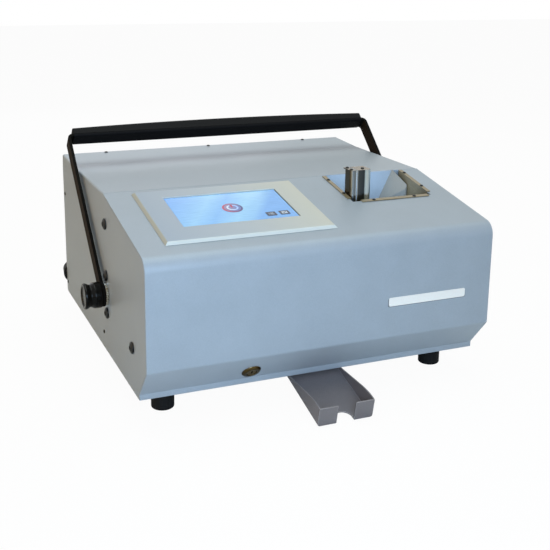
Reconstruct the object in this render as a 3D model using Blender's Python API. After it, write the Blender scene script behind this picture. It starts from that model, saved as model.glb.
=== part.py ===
"""Table-top machine that embosses metal identity tags, built from its separate parts.

Metres, +Z up, the front facing -Y. The origin lies under the middle of the whole machine,
at the height of the surface that it stands on.
"""

import math

import bmesh
import bpy
from mathutils import Vector

# Gaps between parts
FIT = 0.0003
LOOSE = 0.0013
OVERRUN = 0.004

# Housing outline, seen from the side
BODY_WIDTH = 0.465
BODY_DEPTH = 0.460
REAR_HEIGHT = 0.2185
CREASE_HEIGHT = 0.2155
CREASE_SETBACK = 0.382
SEAM_HEIGHT = 0.2165
SEAM_SETBACK = 0.195
SEAM_GAP = 0.0012
BROW_HEIGHT = 0.1815
BROW_RADIUS = 0.018
CHAMFER_TOP = 0.047
CHAMFER_BEND_RADIUS = 0.004
LIP_SETBACK = 0.0335
LIP_HEIGHT = 0.0075
REAR_LOW_RADIUS = 0.006
REAR_TOP_RADIUS = 0.003
COVER_EDGE_RADIUS = 0.0025
COVER_SHEET = 0.0015
COVER_FLANGE_DEPTH = 0.040
COVER_FLANGE_INSET = 0.0185
LID_SHEET = 0.002
SIDE_SHEET = 0.002

# Base and frame
BASE_SHEET = 0.003
BASE_FRONT_GAP = 0.0025
KEEPER_SHEET = 0.002
KEEPER_WIDTH = 0.050
KEEPER_CATCH = 0.019
KEEPER_GAP = 0.0025
REAR_PANEL_LIFT = 0.0065
REAR_PANEL_SHEET = 0.0015
REAR_PANEL_FLANGE = 0.014
FRAME_SHEET = 0.004
FRAME_MARGIN = 0.0145

# Feet and rear bumpers
FOOT_HEIGHT = 0.032
FOOT_RADIUS = 0.0145
FOOT_EDGE = 0.002
FOOT_INSET = 0.040
FOOT_SPACING = BODY_WIDTH - FOOT_INSET * 2
FOOT_SETBACK = 0.074
BUMPER_LENGTH = 0.0295
BUMPER_RADIUS = 0.0155
BUMPER_END_SHARE = 0.8
BUMPER_INSET = 0.0130
BUMPER_HEIGHT = 0.0275

# Side bolts, as setback and height of each
BOLT_HEAD_RADIUS = 0.0075
BOLT_HEAD_HEIGHT = 0.0038
BOLT_HEAD_RIM = 0.0014
BOLT_SHANK_RADIUS = 0.004
BOLT_SOCKET_RADIUS = 0.0029
BOLT_SOCKET_DEPTH = 0.0022
BOLT_REAR_SETBACK = 0.1868
BOLT_TOP_HEIGHT = 0.178
BOLT_UPPER_HEIGHT = 0.1085
BOLT_LOWER_HEIGHT = 0.057
BOLT_FRONT_SETBACK = 0.0605

# Lid hinge
HINGE_SETBACK = 0.020
HINGE_DROP = 0.012
HINGE_BOSS_RADIUS = 0.0078
HINGE_PIN_RADIUS = 0.004
HINGE_ARM_SHEET = 0.003
HINGE_ARM_INNER = 0.027
HINGE_ARM_OUTER = 0.037
HINGE_PAD_LENGTH = 0.034
HINGE_PAD_HEIGHT = 0.009

# Screen in the slope, places measured from the body's left side and down the slope from the seam
SCREEN_LEFT = 0.0693
SCREEN_START = 0.0385
SCREEN_WIDTH = 0.1522
SCREEN_LENGTH = 0.0875
SCREEN_DEPTH = 0.012
SCREEN_RISE = 0.0026
BEZEL_LEFT = 0.0365
BEZEL_START = 0.0115
BEZEL_WIDTH = 0.2175
BEZEL_LENGTH = 0.1505
BEZEL_THICKNESS = 0.0036

# Loading opening in the slope
HOPPER_MARGIN = 0.0325
HOPPER_WIDTH = 0.117
HOPPER_RIGHT = BODY_WIDTH - HOPPER_MARGIN
HOPPER_LEFT = HOPPER_RIGHT - HOPPER_WIDTH
HOPPER_LENGTH = 0.092
GUARD_SHEET = 0.001
GUARD_FLANGE = 0.0055
GUARD_DEPTH = 0.038
GUARD_SIDE_START = 0.004
GUARD_SIDE_END = 0.0835
GUARD_FRONT_INSET = 0.0101
GUARD_FRONT_GAP = 0.004
GUARD_FRONT_LEFT = HOPPER_LEFT + GUARD_FRONT_INSET
RAMP_WIDTH = 0.022
RAMP_LENGTH = 0.034
RAMP_HEIGHT = 0.036
RAMP_TOP_WIDTH = 0.0035

# Lock in the chamfer
LOCK_LEFT = 0.1375
LOCK_DOWN_CHAMFER = 0.034
LOCK_HEAD_RADIUS = 0.014
LOCK_HEAD_THICKNESS = 0.003
LOCK_BARREL_RADIUS = 0.0095
LOCK_BARREL_DEPTH = 0.020
LOCK_PLUG_RADIUS = 0.0062
LOCK_CAM_LENGTH = 0.026
LOCK_CAM_WIDTH = 0.012
LOCK_CAM_THICKNESS = 0.003
LOCK_KEYWAY_LENGTH = 0.0072
LOCK_KEYWAY_WIDTH = 0.0016
LOCK_KEYWAY_DEPTH = 0.004
LOCK_BARREL_FIT = 0.0002

# Tag magazine
TAG_WIDTH = 0.0286
TAG_LENGTH = 0.0508
TAG_FIT = 0.00015
MAGAZINE_INSET = 0.0013
MAGAZINE_LEFT = HOPPER_LEFT + MAGAZINE_INSET
MAGAZINE_FRONT = 0.117
MAGAZINE_WALL = 0.001
MAGAZINE_SIDE = 0.0175
MAGAZINE_TOP = 0.239
MAGAZINE_SLOT = 0.0016
MAGAZINE_SLOT_SHIFT = 0.0066
MAGAZINE_CORNER = 0.005
MAGAZINE_TAB_THICKNESS = 0.0012
MAGAZINE_TAB_LENGTH = 0.024
TABLE_TOP = 0.084
TABLE_THICKNESS = 0.004
TABLE_END_GAP = 0.004
FEED_CLEARANCE = 0.003
PEDESTAL_MARGIN = 0.0125
REAR_GUIDE_SHEET = 0.004
REAR_GUIDE_HEIGHT = 0.080
COLLAR_HEIGHT = 0.118
COLLAR_THICKNESS = 0.004
COLLAR_MARGIN = 0.006

# Feed carriage on its rod and screw
ROD_SETBACK = 0.100
ROD_HEIGHT = 0.060
ROD_RADIUS = 0.005
SCREW_HEIGHT = 0.080
SCREW_RADIUS = 0.004
SCREW_LEAD = 0.010
CARRIAGE_WIDTH = 0.030
CARRIAGE_DEPTH = 0.024
CARRIAGE_MARGIN = 0.0095
BLADE_THICKNESS = 0.004
BLADE_HEIGHT = 0.0018
BLADE_GAP = 0.0024
FEED_MOTOR_GAP = 0.012
FEED_MOTOR_SIDE = 0.042
FEED_MOTOR_LENGTH = 0.040
FEED_BRACKET_SHEET = 0.004

# Embossing wheels
WHEEL_SETBACK = 0.235
WHEEL_RADIUS = 0.085
WHEEL_SHAFT_RADIUS = 0.008
WHEEL_SHAFT_TOP = 0.126
WHEEL_SHAFT_BOTTOM = 0.012
DIE_WHEEL_LOW = 0.066
DIE_WHEEL_THICKNESS = 0.014
WHEEL_GAP = 0.012
PUNCH_WHEEL_THICKNESS = 0.012
WHEEL_HUB_RADIUS = 0.020
BEARING_RADIUS = 0.019
BEARING_FLANGE_RADIUS = 0.034
BEARING_FLANGE_HEIGHT = 0.005
PULLEY_RADIUS = 0.021
PULLEY_RIM = 0.003
PULLEY_RIM_THICKNESS = 0.0025
BELT_WIDTH = 0.010
BELT_THICKNESS = 0.0015
MOTOR_PULLEY_RADIUS = 0.009
MOTOR_PULLEY_SETBACK = 0.352
WHEEL_MOTOR_SIDE = 0.057

# Press over the wheels' rim
PRESS_COLUMN_OFFSET = 0.0995
PRESS_COLUMN_WIDTH = 0.020
PRESS_COLUMN_FRONT = 0.088
PRESS_REAR = 0.178
PRESS_COLUMN_TOP = 0.128
PRESS_ARM_END = 0.0255
PRESS_ARM_FRONT = 0.142
PRESS_LOWER_LOW = 0.044
PRESS_LOWER_TOP = 0.064
PRESS_UPPER_LOW = 0.112
PRESS_UPPER_REAR = 0.208
RAM_SETBACK = 0.157
RAM_RADIUS = 0.006
RAM_HEAD_RADIUS = 0.008
RAM_HEAD_HEIGHT = 0.004
RAM_STROKE = 0.004
RAM_END_GAP = 0.0011
CAM_RADIUS = 0.012
CAM_WIDTH = 0.012
CAM_SHAFT_RADIUS = 0.004
CAM_SHAFT_REACH = 0.004
PRESS_MOTOR_SIDE = 0.042
PRESS_MOTOR_LENGTH = 0.038
MOTOR_CORNER = 0.004

# Carrying handle, with its knobs and studs
HANDLE_SETBACK = 0.187
HANDLE_HEIGHT = 0.0835
HANDLE_LENGTH = 0.256
HANDLE_REST_RISE = 0.1709
HANDLE_STRAP = 0.0042
HANDLE_STRAP_WIDTH = 0.020
HANDLE_STANDOFF = 0.0042
HANDLE_BEND_RADIUS = 0.008
HANDLE_END_SHARE = 0.47
GRIP_HEIGHT = 0.015
GRIP_WIDTH = 0.0235
GRIP_INNER_WALL = 0.0025
GRIP_EDGE = 0.003
STUD_RADIUS = 0.005
COLLAR_RADIUS = 0.0148
COLLAR_ROOT = 0.0127
COLLAR_TEETH = 20
KNOB_RADIUS = 0.017
KNOB_WAIST = 0.0148
KNOB_LENGTH = 0.0245
KNOB_GRIP_SHARE = 0.42
KNOB_WAIST_SHARE = 0.64
KNOB_FLANGE_SHARE = 0.86
KNOB_EDGE = 0.0012
KNOB_DISH_RADIUS = 0.0135
KNOB_DISH_DEPTH = 0.0015
KNOB_BORE_DEPTH = 0.013

# Output tray
TRAY_FROM_RIGHT = 0.238
TRAY_CENTRE = BODY_WIDTH / 2 - TRAY_FROM_RIGHT
TRAY_WIDTH = 0.071
TRAY_SLOPE = 15.0
TRAY_REACH = 0.0552
TRAY_CLEARANCE = 0.0015
TRAY_FRONT_HEIGHT = 0.020
TRAY_SHEET = 0.0018
TRAY_TOP_GAP = 0.0008
TRAY_CREST_REACH = 0.036
TRAY_INNER_SETBACK = 0.047
TRAY_END_SETBACK = 0.133
TRAY_INNER_WALL = 0.011
TRAY_NOTCH_RADIUS = 0.0115
TRAY_NOTCH_DEPTH = 0.0045
TRAY_EDGE = 0.003
TRAY_SLOT_GAP = 0.0008

# Electrics at the rear
SUPPLY_FROM_RIGHT = 0.1325
SUPPLY_LEFT = BODY_WIDTH / 2 - SUPPLY_FROM_RIGHT
SUPPLY_SETBACK = 0.262
SUPPLY_WIDTH = 0.098
SUPPLY_LENGTH = 0.159
SUPPLY_HEIGHT = 0.042
BOARD_SIDE_GAP = 0.0242
BOARD_MOTOR_GAP = 0.028
BOARD_SETBACK = 0.300
BOARD_LENGTH = 0.110
BOARD_THICKNESS = 0.0016
BOARD_POST = 0.009
BOARD_POST_SIDE = 0.007
BOARD_SINK_HEIGHT = 0.016
BOARD_SINK_WIDTH = 0.050
BOARD_SINK_LENGTH = 0.030
INLET_FROM_RIGHT = 0.0825
INLET_CENTRE = BODY_WIDTH / 2 - INLET_FROM_RIGHT
INLET_HEIGHT = 0.062
INLET_FLANGE_WIDTH = 0.062
INLET_FLANGE_HEIGHT = 0.032
INLET_FLANGE = 0.002
INLET_BODY_WIDTH = 0.055
INLET_BODY_HEIGHT = 0.026
INLET_BODY_DEPTH = 0.024
SOCKET_WIDTH = 0.0245
SOCKET_HEIGHT = 0.0165
SOCKET_DEPTH = 0.016
SOCKET_OFFSET = 0.0115
SWITCH_WIDTH = 0.013
SWITCH_HEIGHT = 0.019
SWITCH_DEPTH = 0.012
SWITCH_OFFSET = 0.0165
ROCKER_RADIUS = 0.0085
ROCKER_RISE = 0.0035
ROCKER_CREST_SHARE = 0.30
ROCKER_TILT = 10.0

# Numbers of sides and steps
FINE = 40
ROUND = 24
PLAIN = 16
ARC_STEPS = 6
BEND_STEPS = 10
SHARP_ANGLE = 35.0
STRAIGHT_SHARE = 0.98

# Places worked out from the sizes above
HALF_WIDTH = BODY_WIDTH / 2
FRONT_Y = (TRAY_REACH - BODY_DEPTH - FIT - BUMPER_LENGTH) / 2
REAR_Y = FRONT_Y + BODY_DEPTH
BASE_Z = FOOT_HEIGHT
FLOOR_Z = BASE_Z + BASE_SHEET + FIT
SEAM_Y = FRONT_Y + SEAM_SETBACK
SEAM_Z = BASE_Z + SEAM_HEIGHT
BROW_Z = BASE_Z + BROW_HEIGHT
SLOPE = math.atan2(SEAM_HEIGHT - BROW_HEIGHT, SEAM_SETBACK)
CHAMFER = math.atan2(CHAMFER_TOP - LIP_HEIGHT, LIP_SETBACK)
COVER_FRONT_Y = SEAM_Y + SEAM_GAP / 2
PANEL_INNER = HALF_WIDTH - SIDE_SHEET
FRAME_OUTER = PANEL_INNER - FIT
FRAME_INNER = FRAME_OUTER - FRAME_SHEET
HINGE_Y = SEAM_Y + HINGE_SETBACK
HINGE_Z = SEAM_Z - HINGE_DROP
PIVOT_Y = FRONT_Y + HANDLE_SETBACK
PIVOT_Z = BASE_Z + HANDLE_HEIGHT
PRESS_X = TRAY_CENTRE
WHEEL_Y = FRONT_Y + WHEEL_SETBACK
MAGAZINE_OUTER = TAG_WIDTH + (TAG_FIT + MAGAZINE_WALL) * 2
MAGAZINE_X = MAGAZINE_LEFT - HALF_WIDTH + MAGAZINE_OUTER / 2
TABLE_Z = BASE_Z + TABLE_TOP


def clear_scene():
    for old in list(bpy.data.objects):
        bpy.data.objects.remove(old, do_unlink=True)


def finish(name, colour, roughness, metallic):
    """A Principled material with one colour."""
    material = bpy.data.materials.new(name)
    material.use_nodes = True
    shader = material.node_tree.nodes["Principled BSDF"]
    shader.inputs["Base Color"].default_value = (*colour, 1)
    shader.inputs["Roughness"].default_value = roughness
    shader.inputs["Metallic"].default_value = metallic
    material.diffuse_color = (*colour, 1)
    return material


def axis_empty(name, place):
    """An empty on a joint's axis, which the moving parts hang on."""
    empty = bpy.data.objects.new(name, None)
    empty.location = place
    bpy.context.scene.collection.objects.link(empty)
    return empty


def add(name, solid, material=None, place=(0, 0, 0), turn=(0, 0, 0), parent=None, smooth=False):
    """One object from a bmesh, put at a place and turned, and hung on its joint's empty."""
    bmesh.ops.recalc_face_normals(solid, faces=solid.faces)
    mesh = bpy.data.meshes.new(name)
    solid.to_mesh(mesh)
    solid.free()
    return add_mesh(name, mesh, material, place, turn, parent, smooth)


def add_mesh(name, mesh, material, place, turn=(0, 0, 0), parent=None, smooth=False):
    part = bpy.data.objects.new(name, mesh)
    if material and not mesh.materials:
        mesh.materials.append(material)
    if smooth:
        mesh.shade_smooth()
        mesh.set_sharp_from_angle(angle=math.radians(SHARP_ANGLE))
    part.location = Vector(place)
    part.rotation_euler = turn
    bpy.context.scene.collection.objects.link(part)
    if parent:
        part.parent = parent
        part.location = Vector(place) - parent.location
    return part


def combine(part, solid, operation, place=None, turn=None):
    """Cuts a bmesh out of a part, or joins it on. It sits in the part's own frame unless placed."""
    number = len(part.modifiers)
    helper = add(f"{part.name}.{operation.lower()}{number}", solid)
    helper.hide_render = True
    helper.display_type = "WIRE"
    helper.parent = part.parent
    helper.location = part.location if place is None else Vector(place)
    if place is not None and part.parent:
        helper.location -= part.parent.location
    helper.rotation_euler = part.rotation_euler if turn is None else turn
    step = part.modifiers.new(operation, "BOOLEAN")
    step.operation = operation
    step.solver = "EXACT"
    step.object = helper


def cut(part, solid, place=None, turn=None):
    combine(part, solid, "DIFFERENCE", place, turn)


def join(part, solid, place=None, turn=None):
    combine(part, solid, "UNION", place, turn)


def prism(outline, axis, low, high):
    """An outline in the other two axes, run along one axis from low to high."""
    solid = bmesh.new()
    spots = {
        "X": lambda a, b: (low, a, b),
        "Y": lambda a, b: (a, low, b),
        "Z": lambda a, b: (a, b, low),
    }
    face = solid.faces.new([solid.verts.new(spots[axis](a, b)) for a, b in outline])
    swept = bmesh.ops.extrude_face_region(solid, geom=[face])
    moved = [piece for piece in swept["geom"] if isinstance(piece, bmesh.types.BMVert)]
    shift = Vector([high - low if name == axis else 0 for name in "XYZ"])
    bmesh.ops.translate(solid, verts=moved, vec=shift)
    return solid


def box(low, high):
    outline = [(low[0], low[1]), (high[0], low[1]), (high[0], high[1]), (low[0], high[1])]
    return prism(outline, "Z", low[2], high[2])


def circle(radius, sides, centre=(0, 0)):
    corners = [math.tau * number / sides for number in range(sides)]
    return [(centre[0] + radius * math.cos(a), centre[1] + radius * math.sin(a)) for a in corners]


def arc(centre, radius, start, end, steps=ARC_STEPS):
    """Points on an arc from one angle to another, in degrees."""
    corners = [math.radians(start + (end - start) * number / steps) for number in range(steps + 1)]
    return [(centre[0] + radius * math.cos(a), centre[1] + radius * math.sin(a)) for a in corners]


def rod(radius, low, high, axis="Z", centre=(0, 0), sides=ROUND):
    return prism(circle(radius, sides, centre), axis, low, high)


def turned(profile, sides=ROUND):
    """A round solid about Z from its profile of (radius, height), closed where it leaves the axis."""
    solid = bmesh.new()
    points = [solid.verts.new((radius, 0, height)) for radius, height in profile]
    edges = [solid.edges.new(pair) for pair in zip(points, points[1:])]
    if min(radius for radius, _ in profile) > 0:
        edges.append(solid.edges.new((points[-1], points[0])))
    bmesh.ops.spin(
        solid, geom=points + edges, axis=(0, 0, 1), cent=(0, 0, 0), angle=math.tau, steps=sides
    )
    bmesh.ops.remove_doubles(solid, verts=solid.verts, dist=FIT / 100)
    return solid


def rounded(before, corner, after, radius, steps=ARC_STEPS):
    """The arc that rounds a corner of an outline between its two neighbours."""
    here = Vector(corner)
    back = (Vector(before) - here).normalized()
    onward = (Vector(after) - here).normalized()
    half = back.angle(onward) / 2
    centre = here + (back + onward).normalized() * radius / math.sin(half)
    first = here + back * radius / math.tan(half) - centre
    last = here + onward * radius / math.tan(half) - centre
    sweep = math.atan2(first.x * last.y - first.y * last.x, first.dot(last))
    start = math.atan2(first.y, first.x)
    corners = [start + sweep * number / steps for number in range(steps + 1)]
    return [(centre.x + radius * math.cos(a), centre.y + radius * math.sin(a)) for a in corners]


def parallel(path, distance):
    """An open path moved to its left by a distance, with mitred corners."""
    points = [Vector(point) for point in path]
    runs = [(after - before).normalized() for before, after in zip(points, points[1:])]
    lefts = [Vector((-run.y, run.x)) for run in runs]
    moved = []
    for point, one, two in zip(points, [lefts[0]] + lefts, lefts + [lefts[-1]]):
        moved.append(tuple(point + (one + two) * distance / (1 + one.dot(two))))
    return moved


def soften(solid, width, steps, chosen, axis=None):
    """Rounds the edges whose two ends both pass a test, or only those of them along one axis."""
    edges = []
    for edge in solid.edges:
        run = edge.verts[1].co - edge.verts[0].co
        along = axis is None or abs(run["XYZ".index(axis)]) > run.length * STRAIGHT_SHARE
        if along and all(chosen(end.co) for end in edge.verts):
            edges.append(edge)
    bmesh.ops.bevel(
        solid, geom=edges, offset=width, segments=steps, profile=0.5, affect="EDGES"
    )
    return solid


def slope_place(left, start=0, rise=0):
    """The place on the lid's slope: from the body's left side, down the slope, above its sheet."""
    return (
        left - HALF_WIDTH,
        SEAM_Y - start * math.cos(SLOPE) - rise * math.sin(SLOPE),
        SEAM_Z - start * math.sin(SLOPE) + rise * math.cos(SLOPE),
    )


def lid_path():
    """The lid's outer line from the seam down to the lip, as (y, z)."""
    seam = (SEAM_Y - SEAM_GAP / 2, SEAM_Z - SEAM_GAP / 2 * math.tan(SLOPE))
    brow = (FRONT_Y, BROW_Z)
    bend = (FRONT_Y, BASE_Z + CHAMFER_TOP)
    lip = (FRONT_Y + LIP_SETBACK, BASE_Z + LIP_HEIGHT)
    end = (FRONT_Y + LIP_SETBACK, BASE_Z)
    return [
        seam,
        *rounded(seam, brow, bend, BROW_RADIUS, BEND_STEPS),
        *rounded(brow, bend, lip, CHAMFER_BEND_RADIUS, 3),
        lip,
        end,
    ]


def bolt_places():
    """Name, y and z of the bolts in each side."""
    rear = FRONT_Y + BOLT_REAR_SETBACK
    return {
        "top": (rear, BASE_Z + BOLT_TOP_HEIGHT),
        "upper": (rear, BASE_Z + BOLT_UPPER_HEIGHT),
        "lower": (rear, BASE_Z + BOLT_LOWER_HEIGHT),
        "front": (FRONT_Y + BOLT_FRONT_SETBACK, BASE_Z + BOLT_LOWER_HEIGHT),
    }


def cut_side_holes(part, inner, outer):
    """Holes for the bolts and the handle's stud through a plate at one side."""
    low, high = sorted((inner, outer))
    for spot in bolt_places().values():
        hole = rod(BOLT_SHANK_RADIUS + FIT, low - OVERRUN, high + OVERRUN, "X", spot, PLAIN)
        cut(part, hole)
    pivot = (PIVOT_Y, PIVOT_Z)
    cut(part, rod(STUD_RADIUS + FIT, low - OVERRUN, high + OVERRUN, "X", pivot, PLAIN))


def make_base_plate(material):
    front = FRONT_Y + LIP_SETBACK + LID_SHEET + BASE_FRONT_GAP
    rear = REAR_Y - REAR_PANEL_SHEET - REAR_PANEL_FLANGE - LOOSE
    side = PANEL_INNER - FIT
    top = BASE_Z + BASE_SHEET
    plate = add("base_plate", box((-side, front, BASE_Z), (side, rear, top)), material)
    lock_x, lock_y, lock_z = lock_place()
    depth = LOCK_BARREL_DEPTH + FIT - KEEPER_GAP
    keeper_y = lock_y + depth * math.sin(CHAMFER) + KEEPER_CATCH * math.cos(CHAMFER)
    keeper_z = lock_z + depth * math.cos(CHAMFER) - KEEPER_CATCH * math.sin(CHAMFER)
    keeper = box(
        (lock_x - KEEPER_WIDTH / 2, keeper_y - KEEPER_SHEET, top - BASE_SHEET / 2),
        (lock_x + KEEPER_WIDTH / 2, keeper_y, keeper_z),
    )
    join(plate, keeper)
    half = TRAY_WIDTH / 2 + TRAY_SLOT_GAP
    slot_front = FRONT_Y + TRAY_INNER_SETBACK - LOOSE
    slot_rear = FRONT_Y + TRAY_END_SETBACK + LOOSE
    slot = box(
        (TRAY_CENTRE - half, slot_front, BASE_Z - OVERRUN),
        (TRAY_CENTRE + half, slot_rear, top + OVERRUN),
    )
    cut(plate, slot)


def make_side_panel(side, name, material):
    inner_path = parallel(lid_path(), LID_SHEET + FIT)
    rear = COVER_FRONT_Y - FIT
    outline = [(rear, inner_path[0][1]), *inner_path, (rear, BASE_Z)]
    low, high = sorted((side * PANEL_INNER, side * HALF_WIDTH))
    panel = add(f"side_panel_{name}", prism(outline, "X", low, high), material)
    cut_side_holes(panel, low, high)


def make_frame_plate(side, name, material):
    bolts = bolt_places()
    floor = FLOOR_Z
    front = bolts["front"][0] - FRAME_MARGIN
    rear = HINGE_Y + FRAME_MARGIN
    outline = [
        (front, floor),
        (front, bolts["front"][1] + FRAME_MARGIN),
        (bolts["top"][0] - FRAME_MARGIN, bolts["top"][1] + FRAME_MARGIN),
        (HINGE_Y - FRAME_MARGIN, HINGE_Z + HINGE_BOSS_RADIUS),
        (rear, HINGE_Z + HINGE_BOSS_RADIUS),
        (rear, floor),
    ]
    low, high = sorted((side * FRAME_INNER, side * FRAME_OUTER))
    plate = add(f"frame_plate_{name}", prism(outline, "X", low, high), material)
    cut_side_holes(plate, low, high)
    hinge = (HINGE_Y, HINGE_Z)
    cut(plate, rod(HINGE_PIN_RADIUS + FIT, low - OVERRUN, high + OVERRUN, "X", hinge, PLAIN))


def make_rear_cover(material):
    """Top and both sides in one bent sheet, with a flange down behind the loading opening."""
    front = COVER_FRONT_Y
    seam = (front, SEAM_Z)
    crease = (FRONT_Y + CREASE_SETBACK, BASE_Z + CREASE_HEIGHT)
    rear_top = (REAR_Y, BASE_Z + REAR_HEIGHT)
    rear_low = (REAR_Y, BASE_Z)
    front_low = (front, BASE_Z)
    outline = [
        seam,
        crease,
        *rounded(crease, rear_top, rear_low, REAR_TOP_RADIUS, 3),
        *rounded(rear_top, rear_low, front_low, REAR_LOW_RADIUS, 3),
        front_low,
    ]
    outer = prism(outline, "X", -HALF_WIDTH, HALF_WIDTH)
    crease_low = min(SEAM_Z, crease[1]) - COVER_SHEET / 2
    soften(outer, COVER_EDGE_RADIUS, 2, lambda spot: spot.z > crease_low, "Y")
    cover = add("rear_cover", outer, material)
    inside = HALF_WIDTH - COVER_SHEET
    flange_rear = front + COVER_SHEET
    hollow = [
        (flange_rear, SEAM_Z - COVER_SHEET),
        (crease[0], crease[1] - COVER_SHEET),
        (REAR_Y + OVERRUN, rear_top[1] - COVER_SHEET),
        (REAR_Y + OVERRUN, BASE_Z - OVERRUN),
        (flange_rear, BASE_Z - OVERRUN),
    ]
    cut(cover, prism(hollow, "X", -inside, inside))
    flange_low = SEAM_Z - COVER_FLANGE_DEPTH
    below = box(
        (-inside, front - OVERRUN, BASE_Z - OVERRUN), (inside, flange_rear + COVER_SHEET, flange_low)
    )
    cut(cover, below)
    for side in (-1, 1):
        low, high = sorted((side * (HALF_WIDTH - COVER_FLANGE_INSET), side * inside))
        corner = box(
            (low, front - OVERRUN, BASE_Z - OVERRUN),
            (high, flange_rear + COVER_SHEET, SEAM_Z - COVER_SHEET),
        )
        cut(cover, corner)


def cover_height(y):
    """The rear cover's height over the base, between its crease and its rear edge."""
    share = (y - FRONT_Y - CREASE_SETBACK) / (BODY_DEPTH - CREASE_SETBACK)
    return CREASE_HEIGHT + (REAR_HEIGHT - CREASE_HEIGHT) * share


def inlet_box(width, height, centre, near, far):
    """A box on the power inlet's centre line, between two places along Y."""
    half = height / 2
    middle = BASE_Z + INLET_HEIGHT
    return box(
        (centre - width / 2, near, middle - half), (centre + width / 2, far, middle + half)
    )


def make_rear_panel(material):
    side = HALF_WIDTH - COVER_SHEET - FIT
    low = BASE_Z + REAR_PANEL_LIFT
    front = REAR_Y - REAR_PANEL_SHEET - REAR_PANEL_FLANGE
    under = min(cover_height(front), REAR_HEIGHT) - COVER_SHEET - FIT
    high = BASE_Z + under - REAR_TOP_RADIUS / 10
    face = REAR_Y - REAR_PANEL_SHEET
    panel = add("rear_panel", box((-side, front, low), (side, REAR_Y - FIT, high)), material)
    sheet = REAR_PANEL_SHEET
    hollow = box(
        (-side + sheet, front - OVERRUN, low - OVERRUN), (side - sheet, face, high - sheet)
    )
    cut(panel, hollow)
    width = INLET_BODY_WIDTH + FIT * 2
    height = INLET_BODY_HEIGHT + FIT * 2
    cut(panel, inlet_box(width, height, INLET_CENTRE, front, REAR_Y + OVERRUN))


def make_feet(material):
    """Four rubber feet under the base, and two bumpers of the same kind on the rear."""
    top = BASE_Z - FIT
    edge = FOOT_EDGE
    profile = [(0, 0), (FOOT_RADIUS - edge, 0), (FOOT_RADIUS, edge), (FOOT_RADIUS, top), (0, top)]
    half = FOOT_SPACING / 2
    places = {
        "foot_front_left": (-half, FRONT_Y + FOOT_SETBACK),
        "foot_front_right": (half, FRONT_Y + FOOT_SETBACK),
        "foot_rear_left": (-half, REAR_Y - FOOT_SETBACK),
        "foot_rear_right": (half, REAR_Y - FOOT_SETBACK),
    }
    for name, (x, y) in places.items():
        add(name, turned(profile, ROUND), material, (x, y, 0), smooth=True)
    end = BUMPER_LENGTH
    tip = BUMPER_RADIUS * BUMPER_END_SHARE
    profile = [(0, 0), (BUMPER_RADIUS, 0), (tip, end - edge), (tip - edge, end), (0, end)]
    for side, name in ((-1, "left"), (1, "right")):
        place = (side * (HALF_WIDTH - BUMPER_INSET), REAR_Y + FIT, BASE_Z + BUMPER_HEIGHT)
        turn = (-math.pi / 2, 0, 0)
        add(f"bumper_{name}", turned(profile, ROUND), material, place, turn, smooth=True)


def bolt_mesh(material):
    """A button-head bolt along Z, its head's underside at zero, with a hexagon socket."""
    shank = HALF_WIDTH - FRAME_INNER - FIT
    high = BOLT_HEAD_HEIGHT
    socket_rim = BOLT_SOCKET_RADIUS * math.sqrt(2)
    profile = [
        (0, -shank),
        (BOLT_SHANK_RADIUS, -shank),
        (BOLT_SHANK_RADIUS, FIT),
        (BOLT_HEAD_RADIUS, FIT),
        (BOLT_HEAD_RADIUS, BOLT_HEAD_RIM),
        ((BOLT_HEAD_RADIUS + socket_rim) / 2, high - BOLT_HEAD_RIM / 3),
        (socket_rim, high),
        (0, high),
    ]
    bolt = add("bolt", turned(profile, PLAIN), material)
    cut(bolt, rod(BOLT_SOCKET_RADIUS, high - BOLT_SOCKET_DEPTH, high + OVERRUN, sides=6))
    graph = bpy.context.evaluated_depsgraph_get()
    mesh = bpy.data.meshes.new_from_object(bolt.evaluated_get(graph))
    for spare in (bolt.modifiers[0].object, bolt):
        bpy.data.objects.remove(spare)
    return mesh


def make_bolts(material):
    mesh = bolt_mesh(material)
    for side, name in ((-1, "left"), (1, "right")):
        for where, (y, z) in bolt_places().items():
            place = (side * HALF_WIDTH, y, z)
            turn = (0, side * math.pi / 2, 0)
            add_mesh(f"bolt_{name}_{where}", mesh, material, place, turn, smooth=True)


def make_front_lid(material, hinge):
    """Slope, front face, chamfer and lip bent from one sheet."""
    outer = lid_path()
    outline = outer + parallel(outer, LID_SHEET)[::-1]
    lid = add(
        "front_lid",
        prism([(y - hinge.location.y, z - hinge.location.z) for y, z in outline], "X",
              -HALF_WIDTH, HALF_WIDTH),
        material,
        hinge.location,
        parent=hinge,
    )
    window = box(
        (-FIT, -SCREEN_LENGTH - FIT, -SCREEN_DEPTH), (SCREEN_WIDTH + FIT, FIT, SCREEN_DEPTH)
    )
    cut(lid, window, slope_place(SCREEN_LEFT, SCREEN_START), (SLOPE, 0, 0))
    wall = GUARD_SHEET + FIT
    opening = box(
        (-wall, -HOPPER_LENGTH - FIT, -SCREEN_DEPTH),
        (HOPPER_RIGHT - HOPPER_LEFT + wall, HOPPER_LENGTH, SCREEN_DEPTH),
    )
    cut(lid, opening, slope_place(HOPPER_LEFT), (SLOPE, 0, 0))
    hole = rod(LOCK_BARREL_RADIUS + FIT, -SCREEN_DEPTH, SCREEN_DEPTH, sides=PLAIN)
    cut(lid, hole, lock_place(), lock_turn())


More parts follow.
